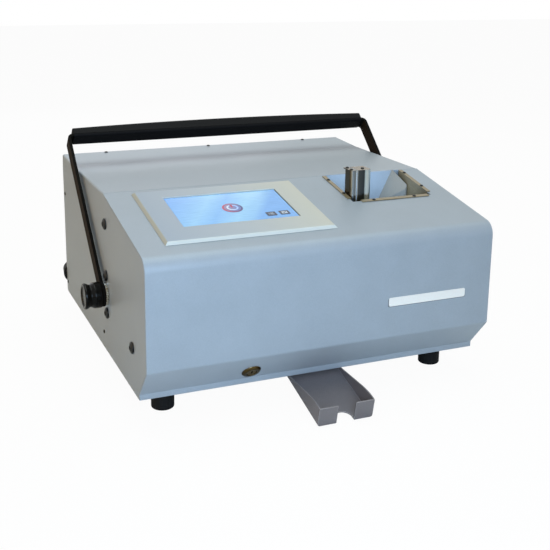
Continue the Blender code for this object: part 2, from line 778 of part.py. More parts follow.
def make_hinge_arm(side, name, material, hinge):
    """A gooseneck arm, which swings round the rear cover's front edge."""
    boss = HINGE_BOSS_RADIUS
    under = LID_SHEET + FIT

    def underside(y):
        """Height of the lid's underside above the hinge at a distance behind it."""
        level = HINGE_DROP - under / math.cos(SLOPE)
        return level + (y + HINGE_SETBACK) * math.tan(SLOPE)

    pad_rear = -HINGE_ARM_INNER
    pad_front = pad_rear - HINGE_PAD_LENGTH
    pad_low = pad_front + HINGE_PAD_HEIGHT / 2
    outline = [
        (pad_rear, underside(pad_rear)),
        (pad_front, underside(pad_front)),
        (pad_low, underside(pad_low) - HINGE_PAD_HEIGHT),
        *arc((0, 0), HINGE_ARM_OUTER, 190, 262, 8),
        *arc((0, 0), boss, -60, 225, 12),
        *arc((0, 0), HINGE_ARM_INNER, 240, 176, 8),
    ]
    outer = side * (FRAME_INNER - FIT)
    low, high = sorted((outer, outer - side * HINGE_ARM_SHEET))
    arm = add(
        f"hinge_arm_{name}", prism(outline, "X", low, high), material, hinge.location, parent=hinge
    )
    low, high = sorted((outer - side * HINGE_ARM_SHEET / 2, side * FRAME_OUTER))
    join(arm, rod(HINGE_PIN_RADIUS, low, high, "X", sides=PLAIN))


def make_screen(bezel_material, glass_material, hinge):
    """The bezel plate on the slope, and the display that looks through its window."""
    turn = (SLOPE, 0, 0)
    place = slope_place(BEZEL_LEFT, BEZEL_START, FIT)
    plate = box((0, -BEZEL_LENGTH, 0), (BEZEL_WIDTH, 0, BEZEL_THICKNESS))
    bezel = add("screen_bezel", plate, bezel_material, place, turn, hinge)
    left = SCREEN_LEFT - BEZEL_LEFT
    start = SCREEN_START - BEZEL_START
    window = box(
        (left - FIT, -start - SCREEN_LENGTH - FIT, -OVERRUN),
        (left + SCREEN_WIDTH + FIT, -start + FIT, BEZEL_THICKNESS + OVERRUN),
    )
    cut(bezel, window)
    display = box((0, -SCREEN_LENGTH, -SCREEN_DEPTH), (SCREEN_WIDTH, 0, SCREEN_RISE))
    place = slope_place(SCREEN_LEFT, SCREEN_START)
    add("touch_display", display, glass_material, place, turn, hinge)


def make_guards(material, hinge):
    """Steel angles round the loading opening: a flange on the lid and a wall down inside."""
    turn = (SLOPE, 0, 0)
    sheet = GUARD_SHEET
    length = GUARD_SIDE_END
    for name, edge, side in (("left", HOPPER_LEFT, -1), ("right", HOPPER_RIGHT, 1)):
        low, high = sorted((0, side * GUARD_FLANGE))
        flange = box((low, -length, FIT), (high, -GUARD_SIDE_START, FIT + sheet))
        place = slope_place(edge)
        guard = add(f"hopper_guard_{name}", flange, material, place, turn, hinge)
        low, high = sorted((0, side * sheet))
        foot = -GUARD_SIDE_START - GUARD_DEPTH * math.tan(SLOPE)
        outline = [
            (-length, FIT + sheet / 2),
            (-length, -GUARD_DEPTH),
            (foot, -GUARD_DEPTH),
            (-GUARD_SIDE_START, FIT + sheet / 2),
        ]
        join(guard, prism(outline, "X", low, high))
    left = GUARD_FRONT_LEFT - HOPPER_LEFT
    right = HOPPER_RIGHT - HOPPER_LEFT - GUARD_FRONT_GAP
    edge = -HOPPER_LENGTH
    flange = box((left, edge - GUARD_FLANGE, FIT), (right, edge + sheet, FIT + sheet))
    place = slope_place(HOPPER_LEFT)
    guard = add("hopper_guard_front", flange, material, place, turn, hinge)
    join(guard, box((left, edge, -GUARD_DEPTH), (right, edge + sheet, FIT + sheet / 2)))


def make_hopper_ramp(material):
    """A corner piece on the rear cover's flange that slopes down to the left and to the front."""
    solid = bmesh.new()
    rear = COVER_FRONT_Y - FIT
    right = HOPPER_RIGHT - HALF_WIDTH - LOOSE
    top = SEAM_Z - LID_SHEET
    low = top - RAMP_HEIGHT
    spots = [
        (right, rear, top),
        (right - RAMP_TOP_WIDTH, rear, top),
        (right, rear - RAMP_TOP_WIDTH, top),
        (right, rear, low),
        (right - RAMP_WIDTH, rear, low),
        (right, rear - RAMP_LENGTH, low),
    ]
    corners = [solid.verts.new(spot) for spot in spots]
    for side in ((0, 1, 2), (3, 5, 4), (0, 3, 4, 1), (0, 2, 5, 3), (1, 4, 5, 2)):
        solid.faces.new([corners[number] for number in side])
    add("hopper_ramp", solid, material)


def lock_place():
    """The lock's centre on the chamfer's outer face."""
    return (
        LOCK_LEFT - HALF_WIDTH,
        FRONT_Y + LOCK_DOWN_CHAMFER * math.cos(CHAMFER),
        BASE_Z + CHAMFER_TOP - LOCK_DOWN_CHAMFER * math.sin(CHAMFER),
    )


def lock_turn():
    """Turns +Z to the chamfer's outward normal."""
    return (math.pi - CHAMFER, 0, 0)


def make_lock(material, cam_material, hinge, lock):
    head = LOCK_HEAD_THICKNESS + FIT
    bore = LOCK_PLUG_RADIUS + LOCK_BARREL_FIT
    depth = -LOCK_BARREL_DEPTH
    profile = [
        (bore, depth),
        (LOCK_BARREL_RADIUS, depth),
        (LOCK_BARREL_RADIUS, FIT),
        (LOCK_HEAD_RADIUS, FIT),
        (LOCK_HEAD_RADIUS - LOCK_HEAD_THICKNESS / 2, head),
        (bore, head),
    ]
    place = lock_place()
    turn = lock_turn()
    add("lock_barrel", turned(profile, ROUND), material, place, turn, hinge, smooth=True)
    face = head - LOCK_HEAD_THICKNESS / 3
    end = depth - FIT - LOCK_CAM_THICKNESS
    plug = add(
        "lock_plug", rod(LOCK_PLUG_RADIUS, end, face), cam_material, place, turn, lock, smooth=True
    )
    half = LOCK_CAM_WIDTH / 2
    join(plug, box((-half, -half, end), (LOCK_CAM_LENGTH, half, end + LOCK_CAM_THICKNESS)))
    keyway = box(
        (-LOCK_KEYWAY_WIDTH / 2, -LOCK_KEYWAY_LENGTH / 2, face - LOCK_KEYWAY_DEPTH),
        (LOCK_KEYWAY_WIDTH / 2, LOCK_KEYWAY_LENGTH / 2, face + OVERRUN),
    )
    cut(plug, keyway)


def make_handle(strap_material, grip_material, pivot):
    """A strap bent to a wide U between the two studs, with a grip on its bar."""
    side = HALF_WIDTH + HANDLE_STANDOFF + HANDLE_STRAP
    end = -HANDLE_STRAP_WIDTH / 2
    top = HANDLE_LENGTH
    half = HANDLE_STRAP_WIDTH / 2
    path = [
        (-side, end),
        *rounded((-side, end), (-side, top), (side, top), HANDLE_BEND_RADIUS),
        *rounded((-side, top), (side, top), (side, end), HANDLE_BEND_RADIUS),
        (side, end),
    ]
    outline = path + parallel(path, -HANDLE_STRAP)[::-1]
    strap = prism(outline, "Y", -half, half)
    radius = HANDLE_STRAP_WIDTH * HANDLE_END_SHARE
    ends = [
        edge
        for edge in strap.edges
        if all(abs(vert.co.z - end) < FIT / 2 for vert in edge.verts)
        and abs(edge.verts[0].co.y - edge.verts[1].co.y) < FIT
    ]
    bmesh.ops.bevel(strap, geom=ends, offset=radius, segments=5, profile=0.5, affect="EDGES")
    lean = math.asin(HANDLE_REST_RISE / (HANDLE_LENGTH - HANDLE_STRAP / 2))
    turn = (lean - math.pi / 2, 0, 0)
    place = pivot.location
    handle = add("handle_strap", strap, strap_material, place, turn, pivot)
    cut(handle, rod(STUD_RADIUS + FIT, -side - OVERRUN, side + OVERRUN, "X", sides=PLAIN))
    reach = side - HANDLE_BEND_RADIUS
    low = top - HANDLE_STRAP - GRIP_INNER_WALL
    high = low + GRIP_HEIGHT
    grip = soften(
        box((-reach, -GRIP_WIDTH / 2, low), (reach, GRIP_WIDTH / 2, high)),
        GRIP_EDGE,
        2,
        lambda spot: abs(spot.y) > half,
    )
    sleeve = add("handle_grip", grip, grip_material, place, turn, pivot)
    strap_room = box(
        (-reach - OVERRUN, -half - FIT, top - HANDLE_STRAP - FIT),
        (reach + OVERRUN, half + FIT, top + FIT),
    )
    cut(sleeve, strap_room)


def make_stud(side, name, material):
    """A serrated collar against the housing, with the stud that carries the handle and the knob."""
    outline = []
    for tooth in range(COLLAR_TEETH):
        for part, radius in ((0, COLLAR_RADIUS), (1, COLLAR_RADIUS), (2, COLLAR_ROOT), (3, COLLAR_ROOT)):
            corner = math.tau * (tooth + part / 4) / COLLAR_TEETH
            outline.append((radius * math.cos(corner), radius * math.sin(corner)))
    low, high = sorted((side * (HALF_WIDTH + FIT), side * (HALF_WIDTH + HANDLE_STANDOFF - FIT)))
    place = (0, PIVOT_Y, PIVOT_Z)
    stud = add(f"pivot_stud_{name}", prism(outline, "X", low, high), material, place)
    outer = HALF_WIDTH + HANDLE_STANDOFF + HANDLE_STRAP + KNOB_BORE_DEPTH - FIT
    low, high = sorted((side * FRAME_INNER, side * outer))
    join(stud, rod(STUD_RADIUS, low, high, "X", sides=PLAIN))


def make_knob(side, name, material, axis):
    """A clamp knob with a waist, a flange and a dished end."""
    length = KNOB_LENGTH
    bore = STUD_RADIUS + FIT
    edge = KNOB_EDGE
    profile = [
        (bore, 0),
        (KNOB_RADIUS - edge, 0),
        (KNOB_RADIUS, edge),
        (KNOB_RADIUS, length * KNOB_GRIP_SHARE),
        (KNOB_WAIST, length * KNOB_WAIST_SHARE),
        (KNOB_RADIUS, length * KNOB_FLANGE_SHARE),
        (KNOB_RADIUS, length - edge),
        (KNOB_RADIUS - edge, length),
        (KNOB_DISH_RADIUS, length),
        (KNOB_DISH_RADIUS - edge, length - KNOB_DISH_DEPTH),
        (0, length - KNOB_DISH_DEPTH),
        (0, KNOB_BORE_DEPTH),
        (bore, KNOB_BORE_DEPTH),
    ]
    solid = bmesh.new()
    points = [solid.verts.new((radius, 0, height)) for radius, height in profile]
    edges = [solid.edges.new(pair) for pair in zip(points, points[1:] + points[:1])]
    axis_edge = edges[10]
    edges.remove(axis_edge)
    solid.edges.remove(axis_edge)
    bmesh.ops.spin(
        solid, geom=points + edges, axis=(0, 0, 1), cent=(0, 0, 0), angle=math.tau, steps=ROUND
    )
    bmesh.ops.remove_doubles(solid, verts=solid.verts, dist=FIT / 100)
    turn = (0, side * math.pi / 2, 0)
    add(f"clamp_knob_{name}", solid, material, axis.location, turn, axis, smooth=True)


def tray_local(y, z):
    """A place in the tray's own plane, along and above its floor, from one in the world."""
    origin_y = FRONT_Y - TRAY_REACH + TRAY_FRONT_HEIGHT * math.sin(math.radians(TRAY_SLOPE))
    along = Vector((math.cos(math.radians(TRAY_SLOPE)), math.sin(math.radians(TRAY_SLOPE))))
    spot = Vector((y - origin_y, z - TRAY_CLEARANCE))
    return (spot.dot(along), spot.dot(Vector((-along.y, along.x))))


def make_tray(material):
    """A folded tray that slopes out under the lip; its floor runs back inside as the chute."""
    slope = math.radians(TRAY_SLOPE)
    level = BASE_Z - TRAY_TOP_GAP
    inner_y = FRONT_Y + TRAY_INNER_SETBACK
    end_y = FRONT_Y + TRAY_END_SETBACK
    front_top = (0, TRAY_FRONT_HEIGHT)
    crest = tray_local(FRONT_Y - TRAY_REACH + TRAY_CREST_REACH, level)
    bend = tray_local(FRONT_Y - TRAY_REACH + TRAY_CREST_REACH / 3, level)
    curve = []
    for number in range(BEND_STEPS + 1):
        share = number / BEND_STEPS
        curve.append(tuple(
            Vector(front_top) * (1 - share) ** 2
            + Vector(bend) * share * (1 - share) * 2
            + Vector(crest) * share ** 2
        ))
    lip_end = tray_local(inner_y, level)
    length = tray_local(end_y, level)[0]
    outline = [
        (0, 0),
        *curve,
        lip_end,
        (lip_end[0], TRAY_INNER_WALL),
        (length, TRAY_INNER_WALL),
        (length, 0),
    ]
    half = TRAY_WIDTH / 2
    shell = prism(outline, "X", -half, half)
    soften(shell, TRAY_EDGE, 2, lambda spot: spot.z < TRAY_SHEET / 2, "Y")
    origin_y = FRONT_Y - TRAY_REACH + TRAY_FRONT_HEIGHT * math.sin(slope)
    place = (TRAY_CENTRE, origin_y, TRAY_CLEARANCE)
    tray = add("output_tray", shell, material, place, (slope, 0, 0))
    inner = half - TRAY_SHEET
    hollow = box(
        (-inner, TRAY_SHEET, TRAY_SHEET), (inner, length + OVERRUN, TRAY_FRONT_HEIGHT * 2)
    )
    cut(tray, hollow)
    notch = TRAY_NOTCH_RADIUS
    outline = [
        (-notch, -OVERRUN),
        (notch, -OVERRUN),
        *arc((0, TRAY_NOTCH_DEPTH), notch, 0, 180, BEND_STEPS * 2),
    ]
    cut(tray, prism(outline, "Z", -OVERRUN, TRAY_FRONT_HEIGHT * 2))


def make_magazine(material, base_material):
    """Two polished upright guides round the front of the stack, on the feed table's block."""
    front = FRONT_Y + MAGAZINE_FRONT
    low = TABLE_Z + FEED_CLEARANCE
    high = BASE_Z + MAGAZINE_TOP
    half = MAGAZINE_OUTER / 2
    rear = front + MAGAZINE_SIDE
    for side, name in ((-1, "left"), (1, "right")):
        outer = MAGAZINE_X + side * half
        slot = MAGAZINE_X - MAGAZINE_SLOT_SHIFT + side * MAGAZINE_SLOT / 2
        path = [
            (slot, front),
            *rounded((slot, front), (outer, front), (outer, rear), MAGAZINE_CORNER, 4),
            (outer, rear),
        ]
        outline = path + parallel(path, side * MAGAZINE_WALL)[::-1]
        guide = add(f"magazine_guide_{name}", prism(outline, "Z", low, high), material)
        middle = parallel(path, side * MAGAZINE_WALL / 2)
        edge = slot + side * FIT / 10
        tab_rear = front + MAGAZINE_TAB_LENGTH
        tab_outline = [
            (edge, middle[0][1]), *middle[1:-1], (middle[-1][0], tab_rear), (edge, tab_rear),
        ]
        tab_top = high - FIT / 10
        join(guide, prism(tab_outline, "Z", tab_top - MAGAZINE_TAB_THICKNESS, tab_top))
    make_magazine_base(base_material, front, half)


def make_magazine_base(material, front, half):
    """The feed table, its pedestal, the rear guide of the stack and the collar round the guides."""
    left = PRESS_X - TAG_WIDTH / 2 - MAGAZINE_WALL
    stack_rear = front + MAGAZINE_WALL + TAG_LENGTH + TAG_FIT * 2
    table_rear = FRONT_Y + WHEEL_SETBACK - WHEEL_RADIUS - TABLE_END_GAP
    right = MAGAZINE_X + half + PEDESTAL_MARGIN
    under = TABLE_Z - TABLE_THICKNESS
    base = add(
        "magazine_base",
        box((left, front, under), (right, table_rear, TABLE_Z)),
        material,
    )
    block_left = MAGAZINE_X - half
    block = box((block_left, front, FLOOR_Z), (right, stack_rear + REAR_GUIDE_SHEET, TABLE_Z))
    soften_z = TABLE_Z - FIT / 10
    for corner in block.verts:
        corner.co.z = min(corner.co.z, soften_z)
    join(base, block)
    guide = box(
        (block_left, stack_rear + FIT, TABLE_Z - TABLE_THICKNESS),
        (right, stack_rear + REAR_GUIDE_SHEET, TABLE_Z + REAR_GUIDE_HEIGHT),
    )
    join(base, guide)
    margin = COLLAR_MARGIN
    collar_low = BASE_Z + COLLAR_HEIGHT
    collar = box(
        (block_left - margin, front - margin, collar_low),
        (right - FIT, stack_rear + REAR_GUIDE_SHEET / 2, collar_low + COLLAR_THICKNESS),
    )
    join(base, collar)
    hole = box(
        (block_left - FIT, front - FIT, collar_low - OVERRUN),
        (MAGAZINE_X + half + FIT, stack_rear, collar_low + COLLAR_THICKNESS + OVERRUN),
    )
    cut(base, hole)


def feed_places():
    """Centres of the guide rod and the lead screw, and where they start and end."""
    y = FRONT_Y + ROD_SETBACK
    rod_centre = (y, BASE_Z + ROD_HEIGHT)
    screw_centre = (y, BASE_Z + SCREW_HEIGHT)
    start = PRESS_X - PRESS_COLUMN_OFFSET + PRESS_COLUMN_WIDTH / 2
    blade = MAGAZINE_X + TAG_WIDTH / 2 + LOOSE
    carriage = blade + BLADE_THICKNESS / 2 - CARRIAGE_WIDTH / 2
    motor = carriage + CARRIAGE_WIDTH + FEED_MOTOR_GAP
    return rod_centre, screw_centre, start, blade, carriage, motor


def make_feed(steel, block_material, motor_material, carriage_axis, screw_axis):
    """The carriage that slides each tag off the stack, its rod, its screw and their motor."""
    rod_centre, screw_centre, start, blade, carriage_left, motor = feed_places()
    seat = PRESS_COLUMN_WIDTH / 2
    bracket = FEED_BRACKET_SHEET
    bar = rod(ROD_RADIUS, start - seat, motor + bracket - FIT, "X", rod_centre, PLAIN)
    add("guide_rod", bar, steel, smooth=True)
    screw_low = start - seat - screw_axis.location.x
    screw = rod(SCREW_RADIUS, screw_low, motor - FIT - screw_axis.location.x, "X", sides=PLAIN)
    add("lead_screw", screw, steel, screw_axis.location, parent=screw_axis, smooth=True)
    y, rod_z = rod_centre
    half = CARRIAGE_DEPTH / 2
    origin = carriage_axis.location
    low = Vector((carriage_left, y - half, rod_z - CARRIAGE_MARGIN)) - origin
    high = Vector((carriage_left + CARRIAGE_WIDTH, y + half, screw_centre[1] + CARRIAGE_MARGIN))
    block = box(low, high - origin)
    carriage = add("feed_carriage", block, block_material, origin, parent=carriage_axis)
    stack_rear = FRONT_Y + MAGAZINE_FRONT + MAGAZINE_WALL + TAG_LENGTH
    blade_low = TABLE_Z + BLADE_GAP - BLADE_HEIGHT
    arm = box(
        Vector((blade, y, blade_low)) - origin,
        Vector((blade + BLADE_THICKNESS, stack_rear - LOOSE, blade_low + BLADE_HEIGHT)) - origin,
    )
    join(carriage, arm)
    for centre, radius in ((rod_centre, ROD_RADIUS), (screw_centre, SCREW_RADIUS)):
        spot = (centre[0] - origin.y, centre[1] - origin.z)
        far = CARRIAGE_WIDTH + BODY_WIDTH
        cut(carriage, rod(radius + FIT, -far, far, "X", spot, PLAIN))
    side = FEED_MOTOR_SIDE / 2
    z = screw_centre[1]
    plate = box((motor, y - side, FLOOR_Z), (motor + bracket, y + side, z + side))
    feed_motor = add("feed_motor", plate, motor_material)
    case = box(
        (motor + bracket / 2, y - side + FIT, z - side),
        (motor + bracket + FEED_MOTOR_LENGTH, y + side - FIT, z + side - FIT),
    )
    join(feed_motor, soften(case, MOTOR_CORNER, 2, lambda spot: spot.x > motor + bracket))
    cut(feed_motor, rod(ROD_RADIUS + FIT, motor - OVERRUN, motor + bracket, "X", rod_centre, PLAIN))


def wheel_levels():
    """Heights of the die wheel's top, the punch wheel's underside and top, and the belt's run."""
    die_top = DIE_WHEEL_LOW + DIE_WHEEL_THICKNESS
    punch_low = die_top + WHEEL_GAP
    punch_top = punch_low + PUNCH_WHEEL_THICKNESS
    belt_low = punch_top + PULLEY_RIM_THICKNESS + FIT
    return die_top, punch_low, punch_top, belt_low


def pulley_profile(radius, bore, low, belt_low):
    """A belt pulley from its lower face up, with a rim on each side of the belt."""
    belt_high = belt_low + BELT_WIDTH + FIT
    high = belt_high + PULLEY_RIM_THICKNESS
    rim = radius + PULLEY_RIM
    return [
        (bore, low),
        (rim, low),
        (rim, belt_low - FIT),
        (radius, belt_low - FIT),
        (radius, belt_high),
        (rim, belt_high),
        (rim, high),
        (bore, high),
    ]


def make_wheels(steel, die_steel, wheel):
    """The punch wheel over the die wheel, on one shaft; the tag goes between their rims."""
    die_top, punch_low, punch_top, belt_low = wheel_levels()
    shaft = WHEEL_SHAFT_RADIUS
    profile = [
        (0, WHEEL_SHAFT_BOTTOM),
        (shaft, WHEEL_SHAFT_BOTTOM),
        (shaft, DIE_WHEEL_LOW),
        (WHEEL_RADIUS, DIE_WHEEL_LOW),
        (WHEEL_RADIUS, die_top),
        (WHEEL_HUB_RADIUS, die_top),
        (WHEEL_HUB_RADIUS, punch_low - FIT),
        (shaft, punch_low - FIT),
        (shaft, WHEEL_SHAFT_TOP),
        (0, WHEEL_SHAFT_TOP),
    ]
    place = wheel.location
    add("die_wheel", turned(profile, FINE), die_steel, place, parent=wheel, smooth=True)
    bore = shaft + FIT
    groove = pulley_profile(PULLEY_RADIUS, bore, punch_top, belt_low)[2:]
    hub = PULLEY_RADIUS + PULLEY_RIM
    profile = [
        (bore, punch_low),
        (WHEEL_RADIUS, punch_low),
        (WHEEL_RADIUS, punch_top),
        (hub, punch_top),
        *groove,
    ]
    add("punch_wheel", turned(profile, FINE), steel, place, parent=wheel, smooth=True)


def make_wheel_bearing(material):
    floor = FLOOR_Z - BASE_Z
    bore = WHEEL_SHAFT_RADIUS + FIT
    top = DIE_WHEEL_LOW - FIT
    profile = [
        (bore, floor),
        (BEARING_FLANGE_RADIUS, floor),
        (BEARING_FLANGE_RADIUS, floor + BEARING_FLANGE_HEIGHT),
        (BEARING_RADIUS, floor + BEARING_FLANGE_HEIGHT),
        (BEARING_RADIUS, top),
        (bore, top),
    ]
    place = (PRESS_X, WHEEL_Y, BASE_Z)
    add("wheel_bearing", turned(profile, ROUND), material, place, smooth=True)


def make_belt_drive(motor_material, pulley_material, belt_material, pulley):
    """The motor behind the wheels, its pulley and the belt round both pulleys."""
    belt_low = wheel_levels()[3]
    shaft = MOTOR_PULLEY_RADIUS / 3
    low = belt_low - FIT - PULLEY_RIM_THICKNESS
    profile = pulley_profile(MOTOR_PULLEY_RADIUS, shaft + FIT, low, belt_low)
    place = pulley.location
    add("motor_pulley", turned(profile, PLAIN), pulley_material, place, parent=pulley, smooth=True)
    half = WHEEL_MOTOR_SIDE / 2
    x, y, z = place
    top = z + low - LOOSE
    case = soften(
        box((x - half, y - half, FLOOR_Z), (x + half, y + half, top)),
        MOTOR_CORNER,
        2,
        lambda spot: True,
    )
    motor = add("wheel_motor", case, motor_material)
    high = z + belt_low + BELT_WIDTH
    join(motor, rod(shaft, top - LOOSE, high, centre=(x, y), sides=PLAIN))
    distance = y - WHEEL_Y
    lean = math.degrees(math.asin((PULLEY_RADIUS - MOTOR_PULLEY_RADIUS) / distance))

    def loop(extra):
        return [
            *arc((0, 0), PULLEY_RADIUS + extra, 180 - lean, 360 + lean, 14),
            *arc((0, distance), MOTOR_PULLEY_RADIUS + extra, lean, 180 - lean, 10),
        ]

    start = z + belt_low
    ring = prism(loop(FIT + BELT_THICKNESS), "Z", start, start + BELT_WIDTH - FIT)
    belt = add("drive_belt", ring, belt_material, (x, WHEEL_Y, 0))
    cut(belt, prism(loop(FIT), "Z", start - OVERRUN, start + BELT_WIDTH + OVERRUN))


def make_press(frame_material, steel, motor_material, cam_axis, ram_axis):
    """A frame that reaches over and under the wheels' rim, with ram, cam and motor."""
    column_right = PRESS_X - PRESS_COLUMN_OFFSET + PRESS_COLUMN_WIDTH
    column_left = column_right - PRESS_COLUMN_WIDTH
    front = FRONT_Y + PRESS_COLUMN_FRONT
    arm_front = FRONT_Y + PRESS_ARM_FRONT
    rear = FRONT_Y + PRESS_REAR
    top = BASE_Z + PRESS_COLUMN_TOP
    arm_end = PRESS_X + PRESS_ARM_END
    column = box((column_left, front, FLOOR_Z), (column_right, rear, top))
    frame = add("press_frame", column, frame_material)
    inside = column_left + PRESS_COLUMN_WIDTH / 2
    lower = box(
        (inside, arm_front, BASE_Z + PRESS_LOWER_LOW),
        (arm_end, rear - FIT, BASE_Z + PRESS_LOWER_TOP),
    )
    join(frame, lower)
    upper = box(
        (inside, arm_front, BASE_Z + PRESS_UPPER_LOW),
        (arm_end, FRONT_Y + PRESS_UPPER_REAR, top - FIT / 10),
    )
    join(frame, upper)
    for centre, radius in zip(feed_places()[:2], (ROD_RADIUS, SCREW_RADIUS)):
        cut(frame, rod(radius + FIT, column_left - OVERRUN, inside + BODY_WIDTH / 10, "X", centre, PLAIN))
    ram_spot = (PRESS_X, FRONT_Y + RAM_SETBACK)
    cut(frame, rod(RAM_RADIUS + FIT, BASE_Z + PRESS_UPPER_LOW - OVERRUN, top + OVERRUN,
                   centre=ram_spot, sides=PLAIN))
    punch_top = BASE_Z + wheel_levels()[2]
    ram_low = punch_top + RAM_STROKE + RAM_END_GAP - ram_axis.location.z
    head_low = top + RAM_STROKE + RAM_END_GAP - ram_axis.location.z
    head_top = head_low + RAM_HEAD_HEIGHT
    profile = [
        (0, ram_low),
        (RAM_RADIUS, ram_low),
        (RAM_RADIUS, head_low),
        (RAM_HEAD_RADIUS, head_low),
        (RAM_HEAD_RADIUS, head_top),
        (0, head_top),
    ]
    place = ram_axis.location
    add("press_ram", turned(profile, PLAIN), steel, place, parent=ram_axis, smooth=True)
    make_cam(steel, motor_material, cam_axis)


def cam_centre_z():
    """The cam's axis: one base radius above the ram's head, with the fit between them."""
    head_top = BASE_Z + PRESS_COLUMN_TOP + RAM_STROKE + RAM_END_GAP + RAM_HEAD_HEIGHT
    return head_top + FIT + CAM_RADIUS


def make_cam(steel, motor_material, cam_axis):
    """A spiral cam whose radius grows evenly over half a turn, and its motor behind it."""
    turns = [(number / FINE) for number in range(FINE + 1)]
    outline = []
    for share in turns:
        radius = CAM_RADIUS + RAM_STROKE * share
        corner = math.pi * share - math.pi / 2
        outline.append((radius * math.cos(corner), radius * math.sin(corner)))
    outline += arc((0, 0), CAM_RADIUS, 180, 270, 8)[:-1]
    half = CAM_WIDTH / 2
    origin = cam_axis.location
    cam = add("press_cam", prism(outline, "Y", -half, half), steel, origin, parent=cam_axis)
    reach = half + CAM_SHAFT_REACH
    join(cam, rod(CAM_SHAFT_RADIUS, 0, reach, "Y", sides=PLAIN))
    side = PRESS_MOTOR_SIDE / 2
    near = origin.y + reach + FIT
    low = BASE_Z + PRESS_COLUMN_TOP + FIT
    case = box(
        (PRESS_X - side, near, low), (PRESS_X + side, near + PRESS_MOTOR_LENGTH, origin.z + side)
    )
    soften(case, MOTOR_CORNER, 2, lambda spot: True)
    add("press_motor", case, motor_material)


def make_power_supply(material):
    left = SUPPLY_LEFT
    near = FRONT_Y + SUPPLY_SETBACK
    case = box(
        (left, near, FLOOR_Z), (left + SUPPLY_WIDTH, near + SUPPLY_LENGTH, FLOOR_Z + SUPPLY_HEIGHT)
    )
    add("power_supply", case, material)


def make_control_board(material):
    """A circuit board on four posts, with a heat sink."""
    right = PRESS_X - WHEEL_MOTOR_SIDE / 2 - BOARD_MOTOR_GAP
    left = BOARD_SIDE_GAP - FRAME_INNER
    near = FRONT_Y + BOARD_SETBACK
    far = near + BOARD_LENGTH
    low = FLOOR_Z + BOARD_POST
    high = low + BOARD_THICKNESS
    board = add("control_board", box((left, near, low), (right, far, high)), material)
    side = BOARD_POST_SIDE
    for x in (left + side, right - side * 2):
        for y in (near + side, far - side * 2):
            post = box((x, y, FLOOR_Z), (x + side, y + side, low + BOARD_THICKNESS / 2))
            join(board, post)
    middle_x = (left + right) / 2
    middle_y = (near + far) / 2
    half_width = BOARD_SINK_WIDTH / 2
    half_length = BOARD_SINK_LENGTH / 2
    sink = box(
        (middle_x - half_width, middle_y - half_length, low + BOARD_THICKNESS / 2),
        (middle_x + half_width, middle_y + half_length, high + BOARD_SINK_HEIGHT),
    )
    join(board, sink)


def make_power_inlet(material, rocker_material, rocker):
    """A mains socket and a rocker switch in one housing in the rear panel."""
    flange = REAR_Y
    face = flange + INLET_FLANGE
    plate = inlet_box(INLET_FLANGE_WIDTH, INLET_FLANGE_HEIGHT, INLET_CENTRE, flange, face)
    inlet = add("power_inlet", plate, material)
    body_front = REAR_Y - INLET_BODY_DEPTH
    body = inlet_box(
        INLET_BODY_WIDTH, INLET_BODY_HEIGHT, INLET_CENTRE, body_front, flange + INLET_FLANGE / 2
    )
    join(inlet, body)
    socket_x = INLET_CENTRE + SOCKET_OFFSET
    socket = inlet_box(SOCKET_WIDTH, SOCKET_HEIGHT, socket_x, face - SOCKET_DEPTH, face + OVERRUN)
    cut(inlet, socket)
    switch_x = INLET_CENTRE - SWITCH_OFFSET
    well = inlet_box(SWITCH_WIDTH, SWITCH_HEIGHT, switch_x, face - SWITCH_DEPTH, face + OVERRUN)
    cut(inlet, well)
    spread = ROCKER_RADIUS * math.sqrt(1 - ROCKER_CREST_SHARE ** 2)
    crest = ROCKER_RADIUS * ROCKER_CREST_SHARE
    outline = [
        *arc((0, 0), ROCKER_RADIUS, 180 + math.degrees(math.asin(ROCKER_CREST_SHARE)),
             360 - math.degrees(math.asin(ROCKER_CREST_SHARE)), 8),
        (spread, ROCKER_RISE - crest),
        (0, crest / 2),
        (-spread, ROCKER_RISE - crest),
    ]
    half = SWITCH_WIDTH / 2 - FIT
    shape = prism([(z, y) for y, z in outline], "X", -half, half)
    turn = (-math.radians(ROCKER_TILT), 0, 0)
    add("rocker_switch", shape, rocker_material, rocker.location, turn, rocker)


def rocker_place():
    """The rocker's pivot, just under the inlet's face."""
    face = REAR_Y + INLET_FLANGE
    return (INLET_CENTRE - SWITCH_OFFSET, face - LOOSE, BASE_Z + INLET_HEIGHT)


def joint_axes():
    """One empty for each joint, on its axis."""
    rod_centre, screw_centre, _, _, carriage, _ = feed_places()
    knob = HALF_WIDTH + HANDLE_STANDOFF + HANDLE_STRAP + FIT
    places = {
        "lid_hinge": (0, HINGE_Y, HINGE_Z),
        "lock_turn": lock_place(),
        "handle_swing": (0, PIVOT_Y, PIVOT_Z),
        "knob_left_turn": (-knob, PIVOT_Y, PIVOT_Z),
        "knob_right_turn": (knob, PIVOT_Y, PIVOT_Z),
        "carriage_slide": (carriage + CARRIAGE_WIDTH / 2, *rod_centre),
        "screw_turn": (carriage, *screw_centre),
        "wheel_turn": (PRESS_X, WHEEL_Y, BASE_Z),
        "pulley_turn": (PRESS_X, FRONT_Y + MOTOR_PULLEY_SETBACK, BASE_Z),
        "cam_turn": (PRESS_X, FRONT_Y + RAM_SETBACK, cam_centre_z()),
        "ram_slide": (PRESS_X, FRONT_Y + RAM_SETBACK, BASE_Z + PRESS_COLUMN_TOP),
        "rocker_tip": rocker_place(),
    }
    return {name: axis_empty(name, place) for name, place in places.items()}


